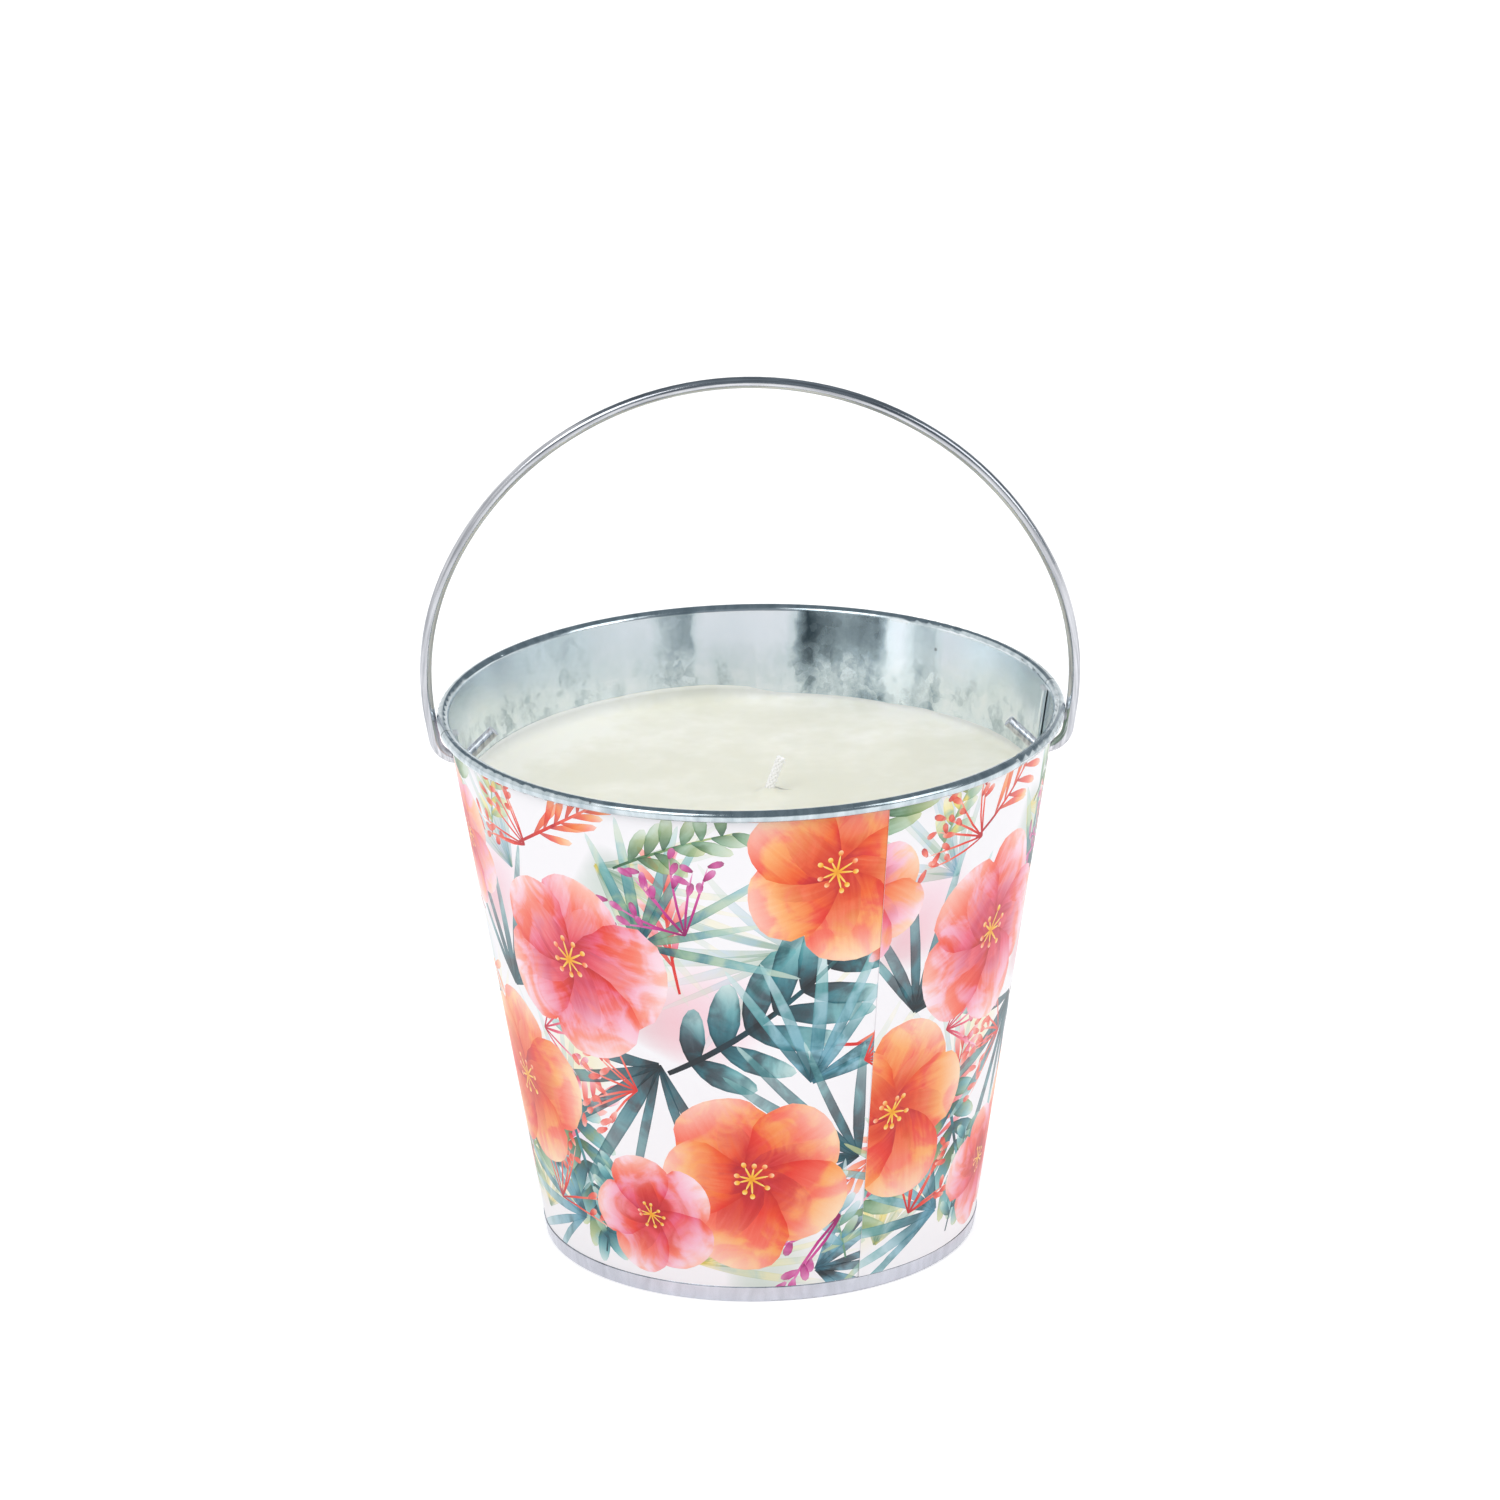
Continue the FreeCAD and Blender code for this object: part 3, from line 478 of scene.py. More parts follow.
# %% [markdown]
# ## Wick
# A candle wick is a round braid: threads wind both ways round a core and pass over and under
# each other. Geometry Nodes make it from one path: the path is copied once for each thread, each
# copy is wound round it, and its distance to the middle rises and falls, so that the threads
# that wind one way are outside where the others are inside.

# %% Wick path
# upright from the foot to the sustainer's neck, then a wide bow that ends WICK_OUT off the axis
WICK_FOOT, NECK_TOP, WICK_OUT = 4.4, 10.4, 4.0
# above the wax a tighter curl, by the wick's lean in degrees, and a straight tip
CURL_RADIUS, CURL_START, CURL_LEANS, WICK_TIP = 8, 4.61, (8, 12, 16, 20, 22), 6.75

rise = WAX_LEVEL - NECK_TOP
bow = (rise ** 2 + WICK_OUT ** 2) / (2 * WICK_OUT)
heights = [WICK_FOOT, NECK_TOP] + list(np.arange(15, WAX_LEVEL, 5.0)) + [WAX_LEVEL]
offsets = [bow - math.sqrt(bow ** 2 - max(z - NECK_TOP, 0) ** 2) for z in heights]
curl_start = math.radians(CURL_START)
for lean in np.radians(CURL_LEANS):
    offsets.append(WICK_OUT + CURL_RADIUS * (math.cos(curl_start) - math.cos(lean)))
    heights.append(WAX_LEVEL + CURL_RADIUS * (math.sin(lean) - math.sin(curl_start)))
offsets.append(offsets[-1] + WICK_TIP * math.sin(lean))
heights.append(heights[-1] + WICK_TIP * math.cos(lean))
line_mesh = bpy.data.meshes.new("braided_wick")
wick_turn = math.radians(SEAM_TURN)
line_mesh.from_pydata([(x * MM * math.cos(wick_turn), x * MM * math.sin(wick_turn), z * MM)
                       for x, z in zip(offsets, heights)],
                      [(n, n + 1) for n in range(len(heights) - 1)], [])
braided_wick = show("braided_wick", line_mesh)
print(f"wick path to x {offsets[-1]:.2f}, z {heights[-1]:.2f} mm")


# %% Braid
cotton, tree, shader, place = new_finish("waxed_cotton_braid")
fibres = add(tree, "ShaderNodeTexNoise", place, Scale=1 / (0.4 * MM), Detail=3.0)
colour = add(tree, "ShaderNodeValToRGB", fibres, stops=[(0.3, "#f1f0ef"), (0.7, "#fcfbfb")])
feed(shader, Base_Color=colour, Roughness=0.7)

braid = bpy.data.node_groups.new("round_braid", "GeometryNodeTree")
braid.is_modifier = True
sizes = {"Pairs": 6, "Middle Radius": 0.76 * MM, "Wave": 0.1 * MM, "Thread Radius": 0.31 * MM,
         "Wind": 0.75 / MM, "Step": 0.22 * MM, "Core Radius": 0.7 * MM}
braid.interface.new_socket("Geometry", in_out="INPUT", socket_type="NodeSocketGeometry")
for name, value in sizes.items():
    kind = "NodeSocketInt" if isinstance(value, int) else "NodeSocketFloat"
    braid.interface.new_socket(name, in_out="INPUT", socket_type=kind)
braid.interface.new_socket("Geometry", in_out="OUTPUT", socket_type="NodeSocketGeometry")
given = add(braid, "NodeGroupInput").outputs

path = add(braid, "GeometryNodeMeshToCurve", given["Geometry"])
even = add(braid, "GeometryNodeResampleCurve", path, mode="LENGTH", Length=given["Step"])
amount = add(braid, "ShaderNodeMath", given["Pairs"], 2.0, operation="MULTIPLY")
threads = add(braid, "GeometryNodeDuplicateElements", even, domain="SPLINE", Amount=amount)
# every second thread winds the other way
number = threads.outputs["Duplicate Index"]
odd = add(braid, "ShaderNodeMath", number, 2.0, operation="MODULO")
hand = add(braid, "ShaderNodeMath", odd, 2.0, -1.0, operation="MULTIPLY_ADD")
length = add(braid, "GeometryNodeSplineParameter").outputs["Length"]
wound = add(braid, "ShaderNodeMath", length, given["Wind"], operation="MULTIPLY")
pair = add(braid, "ShaderNodeMath", number, 2.0, operation="DIVIDE")
pair = add(braid, "ShaderNodeMath", pair, operation="FLOOR")
share = add(braid, "ShaderNodeMath", pair, given["Pairs"], operation="DIVIDE")
start = add(braid, "ShaderNodeMath", share, 2 * math.pi, operation="MULTIPLY")
swing = add(braid, "ShaderNodeMath", wound, hand, operation="MULTIPLY")
turned = add(braid, "ShaderNodeMath", start, swing, operation="ADD")
# it goes out and in as often as it meets threads of the other hand
meetings = add(braid, "ShaderNodeMath", wound, given["Pairs"], operation="MULTIPLY")
crossing = add(braid, "ShaderNodeMath", meetings, operation="COSINE")
crossing = add(braid, "ShaderNodeMath", crossing, hand, operation="MULTIPLY")
reach = add(braid, "ShaderNodeMath", crossing, given["Wave"], given["Middle Radius"],
            operation="MULTIPLY_ADD")
ahead = add(braid, "GeometryNodeInputTangent")
aside = add(braid, "ShaderNodeVectorMath", ahead, (0.0, 1.0, 0.0), operation="CROSS_PRODUCT")
spoke = add(braid, "ShaderNodeVectorRotate", aside, Axis=ahead, Angle=turned)
spoke = add(braid, "ShaderNodeVectorMath", spoke, operation="NORMALIZE")
offset = add(braid, "ShaderNodeVectorMath", spoke, Scale=reach, operation="SCALE")
moved = add(braid, "GeometryNodeSetPosition", threads, Offset=offset)
meshes = []
for curve, sides, radius in ((moved, 5, "Thread Radius"), (even, 12, "Core Radius")):
    section = add(braid, "GeometryNodeCurvePrimitiveCircle", Resolution=sides,
                  Radius=given[radius])
    meshes.append(add(braid, "GeometryNodeCurveToMesh", curve, Profile_Curve=section,
                      Fill_Caps=True))
joined = add(braid, "GeometryNodeJoinGeometry")
for part in meshes:
    feed(joined, part)
plain = add(braid, "GeometryNodeRealizeInstances", joined)
add(braid, "NodeGroupOutput", add(braid, "GeometryNodeSetMaterial", plain, Material=cotton))


# %% Turn the braid into a plain mesh
def grow(thing, tree, values):
    """Run a Geometry Nodes tree on a piece and keep the result as its plain mesh."""
    change = thing.modifiers.new(tree.name, "NODES")
    change.node_group = tree
    for socket in tree.interface.items_tree:
        if socket.in_out == "INPUT" and socket.name in values:
            change[socket.identifier] = values[socket.name]
    seen = thing.evaluated_get(bpy.context.evaluated_depsgraph_get())
    mesh = bpy.data.meshes.new_from_object(seen)
    thing.modifiers.clear()
    thing.data = mesh
    return mesh


wick_mesh = grow(braided_wick, braid, sizes)
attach(braided_wick, "bucket")
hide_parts("wick")
print("wick:", len(wick_mesh.polygons), "faces, box",
      [round(side / MM, 2) for side in braided_wick.dimensions])


# %% [markdown]
# ## Sustainer and pad
# The wick stands in a small stamped disc of tinned steel, held to the base by a sticky pad of
# closed-cell foam. Both are under the wax, so they get quiet, plain finishes.

# %% Sustainer and pad
tin, tree, shader, place = new_finish("tinned_steel")
haze = add(tree, "ShaderNodeTexNoise", place, Scale=1 / (2 * MM), Detail=4.0)
colour = add(tree, "ShaderNodeValToRGB", haze, stops=[(0.3, "#c9cbcd"), (0.7, "#e6e7e9")])
rough = add(tree, "ShaderNodeMapRange", haze, To_Min=0.18, To_Max=0.34)
feed(shader, Base_Color=colour, Metallic=1.0, Roughness=rough)
dress("wick_sustainer", tin)

foam, tree, shader, place = new_finish("closed_cell_foam")
cells = add(tree, "ShaderNodeTexVoronoi", place, Scale=1 / (0.4 * MM))
colour = add(tree, "ShaderNodeValToRGB", cells, stops=[(0.1, "#f1f1ed"), (0.6, "#d9d9d3")])
feed(shader, Base_Color=colour, Roughness=0.8)
dress("wick_pad", foam)
print("sustainer: tinned steel; pad: closed-cell foam")


# %% [markdown]
# ## Printed film
# The film is a flat strip with a painted pattern, cut as a ring sector, so that it wraps the
# tapered wall without a crease. So the pattern is drawn flat too: every brush stroke is a
# polygon on the strip. All strokes are cut into one triangle mesh, each triangle takes the inks
# of the strokes that lie over it, and the mesh is then rolled onto the wall.

# %% The strip, measured on the solid film
# mm of film and glue; degrees of the joint, of its lap, and over which the film steps up on itself
FILM, GLUE = 0.15, 0.05
JOINT_ANGLE, LAP, STEP = -64.0, 6.5, 1.3
STEP_START = LAP + GLUE / FILM * STEP
STEP_END = STEP_START + STEP
STRIP_END = 360.0 + LAP
HOLE_RADIUS, HOLE_HEIGHT = 2.5, 120.4
GRID_STEP = 3.75
# the film's lower edge stands a little off the wall at the right of the front
LOOSE_TURN, LOOSE_SPREAD, LOOSE_HEIGHT, LOOSE_EDGE = 22.0, 20.0, 5.0, 0.3

film_points = np.array([v.co for v in nodes["printed_wrap"].data.vertices]) / MM
film_low, film_high = film_points[:, 2].min(), film_points[:, 2].max()
behind = film_points[film_points[:, 1] > 0]
radius_low, radius_high = (np.hypot(*behind[abs(behind[:, 2] - level) < 0.5].T[:2]).max()
                           for level in (film_low, film_high))
LEAN = math.atan2(radius_high - radius_low, film_high - film_low)
reach_low, reach_high = radius_low / math.sin(LEAN), radius_high / math.sin(LEAN)
SLANT = reach_high - reach_low
print(f"film {film_high - film_low:.1f} mm high, radius {radius_low:.2f} to {radius_high:.2f} mm")


def flat_point(turn, height):
    """Where a place on the wall, in degrees from the film's edge and mm up, lies on the strip."""
    swing = math.radians(turn) * math.sin(LEAN)
    reach = reach_low + height
    return np.array((reach * math.cos(swing), reach * math.sin(swing)))


def turn_of(flat):
    """Degrees round the strip of places in the flat."""
    return np.degrees(np.arctan2(flat[:, 1], flat[:, 0])) / math.sin(LEAN)


def on_wall(turn, reach, inwards):
    """Places on the wall, in mm, from degrees round the strip and its reach in the flat."""
    lift = np.interp(turn, (STEP_START, STEP_END), (FILM + GLUE, 0.0))
    height = reach - reach_low
    sprung = np.exp(-((turn - LOOSE_TURN) / LOOSE_SPREAD) ** 2) * np.exp(-height / LOOSE_HEIGHT)
    radius = reach * math.sin(LEAN) + lift + LOOSE_EDGE * sprung - inwards
    angle = np.radians(turn + JOINT_ANGLE)
    return np.column_stack((radius * np.cos(angle), radius * np.sin(angle),
                            film_low + height * math.cos(LEAN)))


def roll_up(flat, inwards=0.0):
    """Points of the flat strip rolled onto the wall, in metres, and the film's outward normals."""
    turn, reach = turn_of(flat), np.hypot(*flat.T)
    place = on_wall(turn, reach, inwards)
    ahead = on_wall(turn + 0.05, reach, inwards) - on_wall(turn - 0.05, reach, inwards)
    upward = on_wall(turn, reach + 0.05, inwards) - on_wall(turn, reach - 0.05, inwards)
    facing = np.cross(ahead, upward)
    return place * MM, facing / np.linalg.norm(facing, axis=1)[:, None]


# %% [markdown]
# A brush stroke is a curved spine with a half-width along it. Each stroke carries two inks, each
# a run of colours from its root to its tip. The shader later lets one bleed into the other.

# %% Brush strokes
GROUND = "#f7f6f9"
draw = random.Random(27)
strokes = []


def inks(*codes):
    return np.array([paint(code)[:3] for code in codes])


class Brush:
    """A place on the strip and a heading, where a motif is painted."""

    def __init__(self, turn, height, heading=0.0):
        swing = math.radians(turn) * math.sin(LEAN)
        self.ahead = np.array((math.cos(swing), math.sin(swing)))
        self.aside = np.array((-math.sin(swing), math.cos(swing)))
        self.turn_by(heading)
        self.centre = flat_point(turn, height)

    def turn_by(self, degrees):
        cos, sin = math.cos(math.radians(degrees)), math.sin(math.radians(degrees))
        self.ahead, self.aside = (self.ahead * cos + self.aside * sin,
                                  self.aside * cos - self.ahead * sin)

    def spot(self, x, y):
        return self.centre + self.aside * x + self.ahead * y

    def at(self, x, y, heading):
        """The same brush moved to (x, y) and turned."""
        other = copy(self)
        other.centre = self.spot(x, y)
        other.turn_by(heading)
        return other

    def paint(self, length, width, first, second, bend=0.0, tip=0.5, root=0.15, steps=9,
              strength=(1.0, 1.0), veins=0.5, rim=0.6, ruffle=0.0):
        """One stroke straight ahead, whose spine bends sideways by bend times its length."""
        along = 0.5 - 0.5 * np.cos(np.linspace(0, math.pi, steps))
        spine = np.array([self.spot(bend * length * t * t, length * t) for t in along])
        rise = root + (1 - root) * np.sin(np.clip(along / tip, 0, 1) * math.pi / 2)
        fall = np.sqrt(np.clip(1 - ((along - tip) / (1 - tip)) ** 2, 0, 1))
        half = width / 2 * np.where(along < tip, rise, fall)
        half *= 1 + ruffle * np.array([draw.uniform(-1, 1) for _ in along])
        strokes.append(SimpleNamespace(
            spine=spine, along=along, half=np.maximum(half, 0.02), first=first, second=second,
            strength=strength, veins=veins, rim=rim, seed=draw.random()))


def outline(stroke):
    """The stroke's edge: up one side of its spine and back down the other."""
    run = np.gradient(stroke.spine, axis=0)
    side = np.column_stack((-run[:, 1], run[:, 0])) / np.hypot(*run.T)[:, None]
    offset = side * stroke.half[:, None]
    left, right = stroke.spine + offset, stroke.spine - offset
    return np.vstack((left, right[::-1][1:] if stroke.half[-1] < 0.05 else right[::-1]))


# %% [markdown]
# The motifs are those of many tropical prints: round five-petalled blossoms, split broad leaves,
# fans of slender blades, feathery plumes, sprigs, sprays of berries, and pale washes behind all.

# %% Motifs
FIRE = inks("#b5102a", "#e8402f", "#f67d68", "#fcc9ba")
GLOW = inks("#cf2a1f", "#f0682a", "#fab06e", "#fee0c0")
ROSE = inks("#c01a3c", "#ec6683", "#f8b8cc", "#fdeaf1")
PEACH = inks("#ea5a3c", "#f58a5c", "#fab389", "#fddcc2")
CORAL = inks("#d92b2a", "#ef6152", "#f79b8f", "#fcd0c8")
MAGENTA = inks("#8d1160", "#bf2c8a", "#d964ac", "#eaa2cf")
NAVY = inks("#041c26", "#08323f", "#14606b", "#6fb2b4")
TEAL = inks("#0a4450", "#1f7885", "#73b8bc", "#cfe7e4")
SAGE = inks("#5f8f74", "#93b898", "#bcd3bb", "#dde9d9")
MOSS = inks("#2f5c45", "#628a5e", "#9fb57a", "#d3dba8")
LEMON = inks("#e3cd55", "#efe07c", "#f6eda6", "#fbf7da")
LILAC = inks("#9c8bcd", "#b9abdd", "#d5ccec", "#ebe6f6")
SKY = inks("#4f97af", "#86bac9", "#b5d6de", "#dcedf0")
GOLD = inks("#ee9d1c", "#f8bf35", "#fbd766", "#fce8a0")


def blossom(brush, across, inner, outer, petals=5):
    """Five round petals laid like a pinwheel, deep at their roots, round a ring of gold dots."""
    root = inner[:1].repeat(4, 0)
    for number in range(petals):
        petal = brush.at(0, 0, 360 / petals * number + draw.uniform(-6, 6))
        reach = across / 2 * draw.uniform(0.92, 1.08)
        bend = draw.uniform(0.06, 0.2)
        petal.paint(reach, reach * draw.uniform(0.9, 1.04), inner, outer, tip=0.63, root=0.2,
                    bend=bend, steps=15, veins=0.7, rim=0.6, ruffle=0.05)
        petal.at(0, 0, draw.uniform(0, 14)).paint(
            reach * 0.72, reach * 0.4, root, inner, tip=0.3, root=0.4, bend=bend, steps=9,
            strength=(0.85, 0.0), veins=1.0, rim=0.0)
    for number in range(9):
        stalk = brush.at(0, 0, 40 * number + draw.uniform(-12, 12))
        reach = across * draw.uniform(0.06, 0.11)
        stalk.paint(reach, across * 0.012, GOLD, GOLD, tip=0.3, root=0.8, steps=4, veins=0.0,
                    rim=0.0)
        stalk.at(0, reach * 0.9, 0).paint(across * 0.032, across * 0.028, GOLD, PEACH, tip=0.5,
                                          root=0.4, steps=6, veins=0.0, rim=0.4)


def split_leaf(brush, length, dark, pale, pairs=7, spread=0.36):
    """A broad leaf that has split into strips on both sides of its rib."""
    bend = draw.uniform(-0.16, 0.16)
    for number in range(pairs):
        along = 0.12 + 0.8 * number / (pairs - 1)
        reach = length * spread * math.sin(math.pi * (0.12 + 0.8 * along)) ** 0.7
        for side in (-1, 1):
            strip = brush.at(bend * length * along ** 2, length * along,
                             side * (66 - 34 * along + draw.uniform(-6, 6)))
            strip.paint(reach * draw.uniform(0.85, 1.1), length / pairs * draw.uniform(0.65, 0.9),
                        dark, pale, tip=0.42, root=0.35, bend=-side * draw.uniform(0.0, 0.22),
                        steps=8, strength=(1.0, 0.85), veins=0.5, rim=0.8, ruffle=0.03)
    brush.paint(length, length * 0.025, dark[:1].repeat(4, 0), dark, bend=bend, tip=0.2, root=0.8,
                steps=9, veins=0.2, rim=0.0)


def blade_fan(brush, length, dark, pale, blades=8, spread=110, width=0.07,
              strength=(1.0, 0.75)):
    """Slender pointed blades that spread from one foot."""
    for number in range(blades):
        side = number / (blades - 1) - 0.5
        blade = brush.at(0, 0, spread * side + draw.uniform(-6, 6))
        reach = length * draw.uniform(0.72, 1.05) * (1 - 0.3 * abs(side))
        blade.paint(reach, length * width * draw.uniform(0.75, 1.25), dark, pale, tip=0.34,
                    root=0.35, bend=side * draw.uniform(0.0, 0.5), steps=10, strength=strength,
                    veins=0.5, rim=0.8, ruffle=0.02)


def plume(brush, length, tint, second, pairs=9):
    """A feathery head of fine strokes along a curved stem."""
    bend = draw.uniform(-0.22, 0.22)
    for number in range(pairs * 2):
        along = 0.2 + 0.8 * number / (pairs * 2)
        side = 1 if number % 2 else -1
        hair = brush.at(bend * length * along ** 2, length * along, side * draw.uniform(18, 46))
        hair.paint(length * draw.uniform(0.26, 0.4) * (1.2 - 0.6 * along), length * 0.055, tint,
                   second, tip=0.7, root=0.2, bend=side * draw.uniform(-0.2, 0.25), steps=6,
                   strength=(0.9, 0.95), veins=0.2, rim=0.6)
    brush.paint(length, length * 0.022, tint[:1].repeat(4, 0), tint, bend=bend, tip=0.2, root=0.8,
                steps=8, veins=0.0, rim=0.0)


def leaf_sprig(brush, length, dark, pale, pairs=6, leaf=0.28):
    """A thin stem with small oval leaves in turn."""
    bend = draw.uniform(-0.2, 0.2)
    brush.paint(length, length * 0.022, dark, dark, bend=bend, tip=0.2, root=0.8, steps=7,
                veins=0.1, rim=0.0)
    for number in range(pairs * 2):
        along = 0.15 + 0.85 * number / (pairs * 2)
        side = 1 if number % 2 else -1
        blade = brush.at(bend * length * along ** 2, length * along,
                         side * draw.uniform(35, 60))
        blade.paint(length * leaf * draw.uniform(0.8, 1.1), length * leaf * 0.36, dark, pale,
                    tip=0.5, root=0.15, bend=side * draw.uniform(-0.1, 0.2), steps=7,
                    strength=(0.95, 0.8), veins=0.4, rim=0.7)


def berry_spray(brush, length, tint, stems=7):
    """Thin curved stems that end in drops of colour."""
    for number in range(stems):
        fan = brush.at(0, 0, -52 + 104 * number / (stems - 1) + draw.uniform(-7, 7))
        reach = length * draw.uniform(0.65, 1.0)
        bend = draw.uniform(-0.25, 0.25)
        fan.paint(reach, length * 0.03, tint, tint, bend=bend, tip=0.3, root=0.6, steps=6,
                  veins=0.0, rim=0.2)
        for along in (0.62, 0.8, 1.0):
            bud = fan.at(bend * reach * along ** 2, reach * along, draw.uniform(-70, 70))
            bud.paint(length * draw.uniform(0.13, 0.22), length * 0.085, tint, tint[::-1],
                      tip=0.6, root=0.3, steps=6, strength=(0.95, 0.9), veins=0.2, rim=0.8)


def wash(brush, across, tint, strength=0.42):
    """A soft puddle of thin colour that fades to nothing at its edge."""
    brush.at(0, -across / 2, 0).paint(across, across * draw.uniform(0.6, 0.9), tint, tint,
                                      tip=0.5, root=0.1, steps=13, ruffle=0.08, veins=0.1,
                                      strength=(strength, strength), rim=-1.0)


# %% [markdown]
# The pattern repeats every 130 degrees or so, which is less than a third of the strip. That is
# why the two sides of the film's joint do not match, as on the real bucket.

# %% Layout of the pattern
PATTERN_START, REPEAT, SPARE_TURN = 22, 130.0, 6
BLOSSOMS = [
    (68, 112, 15, 46, GLOW, FIRE), (10, 84, 20, 50, ROSE, FIRE), (50, 30, -30, 46, FIRE, GLOW),
    (114, 44, 10, 46, GLOW, FIRE), (24, 18, 50, 32, FIRE, ROSE), (104, 104, 40, 34, ROSE, PEACH),
]
SPLIT_LEAVES = [
    (32, 58, 62, 62, NAVY, TEAL), (96, 66, 155, 50, NAVY, TEAL), (0, 50, 165, 44, TEAL, MOSS),
    (98, 112, 35, 46, SAGE, MOSS), (84, 12, 70, 44, MOSS, SAGE),
]
BLADE_FANS = [
    (30, 60, -150, 52, NAVY, TEAL), (64, 56, 20, 52, TEAL, SKY), (76, 34, -60, 46, NAVY, TEAL),
    (28, 92, 35, 44, TEAL, SAGE), (2, 12, -70, 44, TEAL, SKY), (118, 70, 15, 44, NAVY, TEAL),
    (66, 4, 80, 40, NAVY, SKY), (100, 22, -100, 44, TEAL, MOSS),
]
PALE_FANS = [
    (20, 112, 120, 46, SAGE, LEMON), (60, 92, -100, 48, SAGE, SKY), (94, 40, 40, 50, SAGE, LEMON),
    (126, 104, -30, 44, SAGE, SKY), (36, 6, 60, 44, LEMON, SAGE), (112, 8, 20, 40, SAGE, LEMON),
    (4, 44, -40, 40, SKY, SAGE), (80, 100, 160, 44, LEMON, SAGE),
]
PLUMES = [
    (66, 66, 100, 42, CORAL, PEACH), (88, 96, -60, 40, FIRE, GLOW), (36, 80, -10, 36, CORAL, ROSE),
    (124, 24, 30, 36, CORAL, ROSE), (0, 112, 60, 38, FIRE, GLOW), (98, 48, -130, 34, PEACH, CORAL),
    (56, 12, -70, 34, ROSE, MAGENTA),
]
LEAF_SPRIGS = [
    (24, 112, 60, 34, MOSS, SAGE), (120, 110, 20, 30, SAGE, LEMON), (8, 4, 15, 28, TEAL, SAGE),
    (104, 84, -75, 32, FIRE, ROSE), (74, 6, -10, 26, SAGE, SKY),
]
BERRY_SPRAYS = [
    (38, 96, -35, 22, MAGENTA), (76, 60, 70, 22, CORAL), (72, 18, -100, 26, MAGENTA),
    (100, 14, -10, 20, ROSE), (122, 14, 30, 20, FIRE), (2, 112, -60, 20, FIRE),
    (88, 118, -20, 20, MAGENTA), (128, 62, 80, 20, ROSE), (24, 52, -80, 20, CORAL),
]
WASHES = [
    (10, 60, 10, 34, LEMON), (40, 74, 70, 40, ROSE), (64, 30, 120, 36, LILAC),
    (92, 70, 0, 44, SKY), (118, 96, 40, 36, ROSE), (26, 100, 160, 38, SAGE),
    (76, 104, 90, 34, LEMON), (54, 6, 20, 34, SAGE), (106, 20, 60, 38, LEMON),
    (126, 34, 100, 30, LILAC),
]

starts = [PATTERN_START + REPEAT * repeat for repeat in range(-1, int(STRIP_END // REPEAT) + 1)]


def scatter(places, motif, **options):
    """Paint a motif at each of its places, in every repeat of the pattern."""
    for start in starts:
        for turn, height, heading, length, *tints in places:
            motif(Brush(start + turn, height, heading), length, *tints, **options)


scatter(WASHES, wash)
scatter(PALE_FANS, blade_fan, blades=9, spread=80, width=0.045, strength=(0.5, 0.25))
scatter(PLUMES, plume, pairs=7)
scatter(SPLIT_LEAVES, split_leaf)
scatter(BLADE_FANS, blade_fan, blades=7, width=0.062, strength=(1.0, 0.65))
scatter(LEAF_SPRIGS, leaf_sprig)
scatter(BERRY_SPRAYS, berry_spray)
scatter(BLOSSOMS, blossom)


def on_strip(stroke):
    """Whether any of a stroke lies on the film."""
    reach, turn = np.hypot(*stroke.spine.T), turn_of(stroke.spine)
    margin = stroke.half.max()
    return (reach.max() > reach_low - margin and reach.min() < reach_high + margin
            and turn.max() > -SPARE_TURN and turn.min() < STRIP_END + SPARE_TURN)


strokes = [stroke for stroke in strokes if on_strip(stroke)]
print("brush strokes:", len(strokes))


# %% [markdown]
# The strokes' outlines have to become edges of the mesh, so that each colour ends sharply.
# Blender's constrained triangulation does that. It is quick on a few points and slow on tens of
# thousands, so the strip is cut tile by tile: every outline is clipped to the tile first. A grid
# of loose points keeps the triangles small enough to carry soft changes of colour.

# %% Cut the strip along the outlines
def clip_to_tile(starts, ends, tile):
    """The parts of many straight edges that lie in one convex tile, given by its corners."""
    run = ends - starts
    low, high = np.zeros(len(starts)), np.ones(len(starts))
    for corner, following in zip(tile, np.roll(tile, -1, axis=0)):
        inward = np.array((corner[1] - following[1], following[0] - corner[0]))
        clearance, slope = (starts - corner) @ inward, run @ inward
        with np.errstate(divide="ignore", invalid="ignore"):
            crossing = -clearance / slope
        low = np.where(slope > 0, np.maximum(low, crossing), low)
        high = np.where(slope < 0, np.minimum(high, crossing), high)
        low = np.where((slope == 0) & (clearance < 0), 2.0, low)
    kept = high - low > 1e-6
    return (starts[kept] + run[kept] * low[kept, None],
            starts[kept] + run[kept] * high[kept, None])


def distance_to_line(points, start, end):
    run = end - start
    return abs((points - start) @ np.array((-run[1], run[0]))) / np.hypot(*run)


def snap_to_side(points, start, end, steps):
    """Move points that lie on a straight side to its nearest even step, and name those steps."""
    run = end - start
    share = (points - start) @ run / (run @ run)
    near = (distance_to_line(points, start, end) < TOUCH) & (abs(share - 0.5) < 0.5 + 1e-6)
    number = np.round(share[near] * steps)
    points[near] = start + number[:, None] / steps * run
    return number


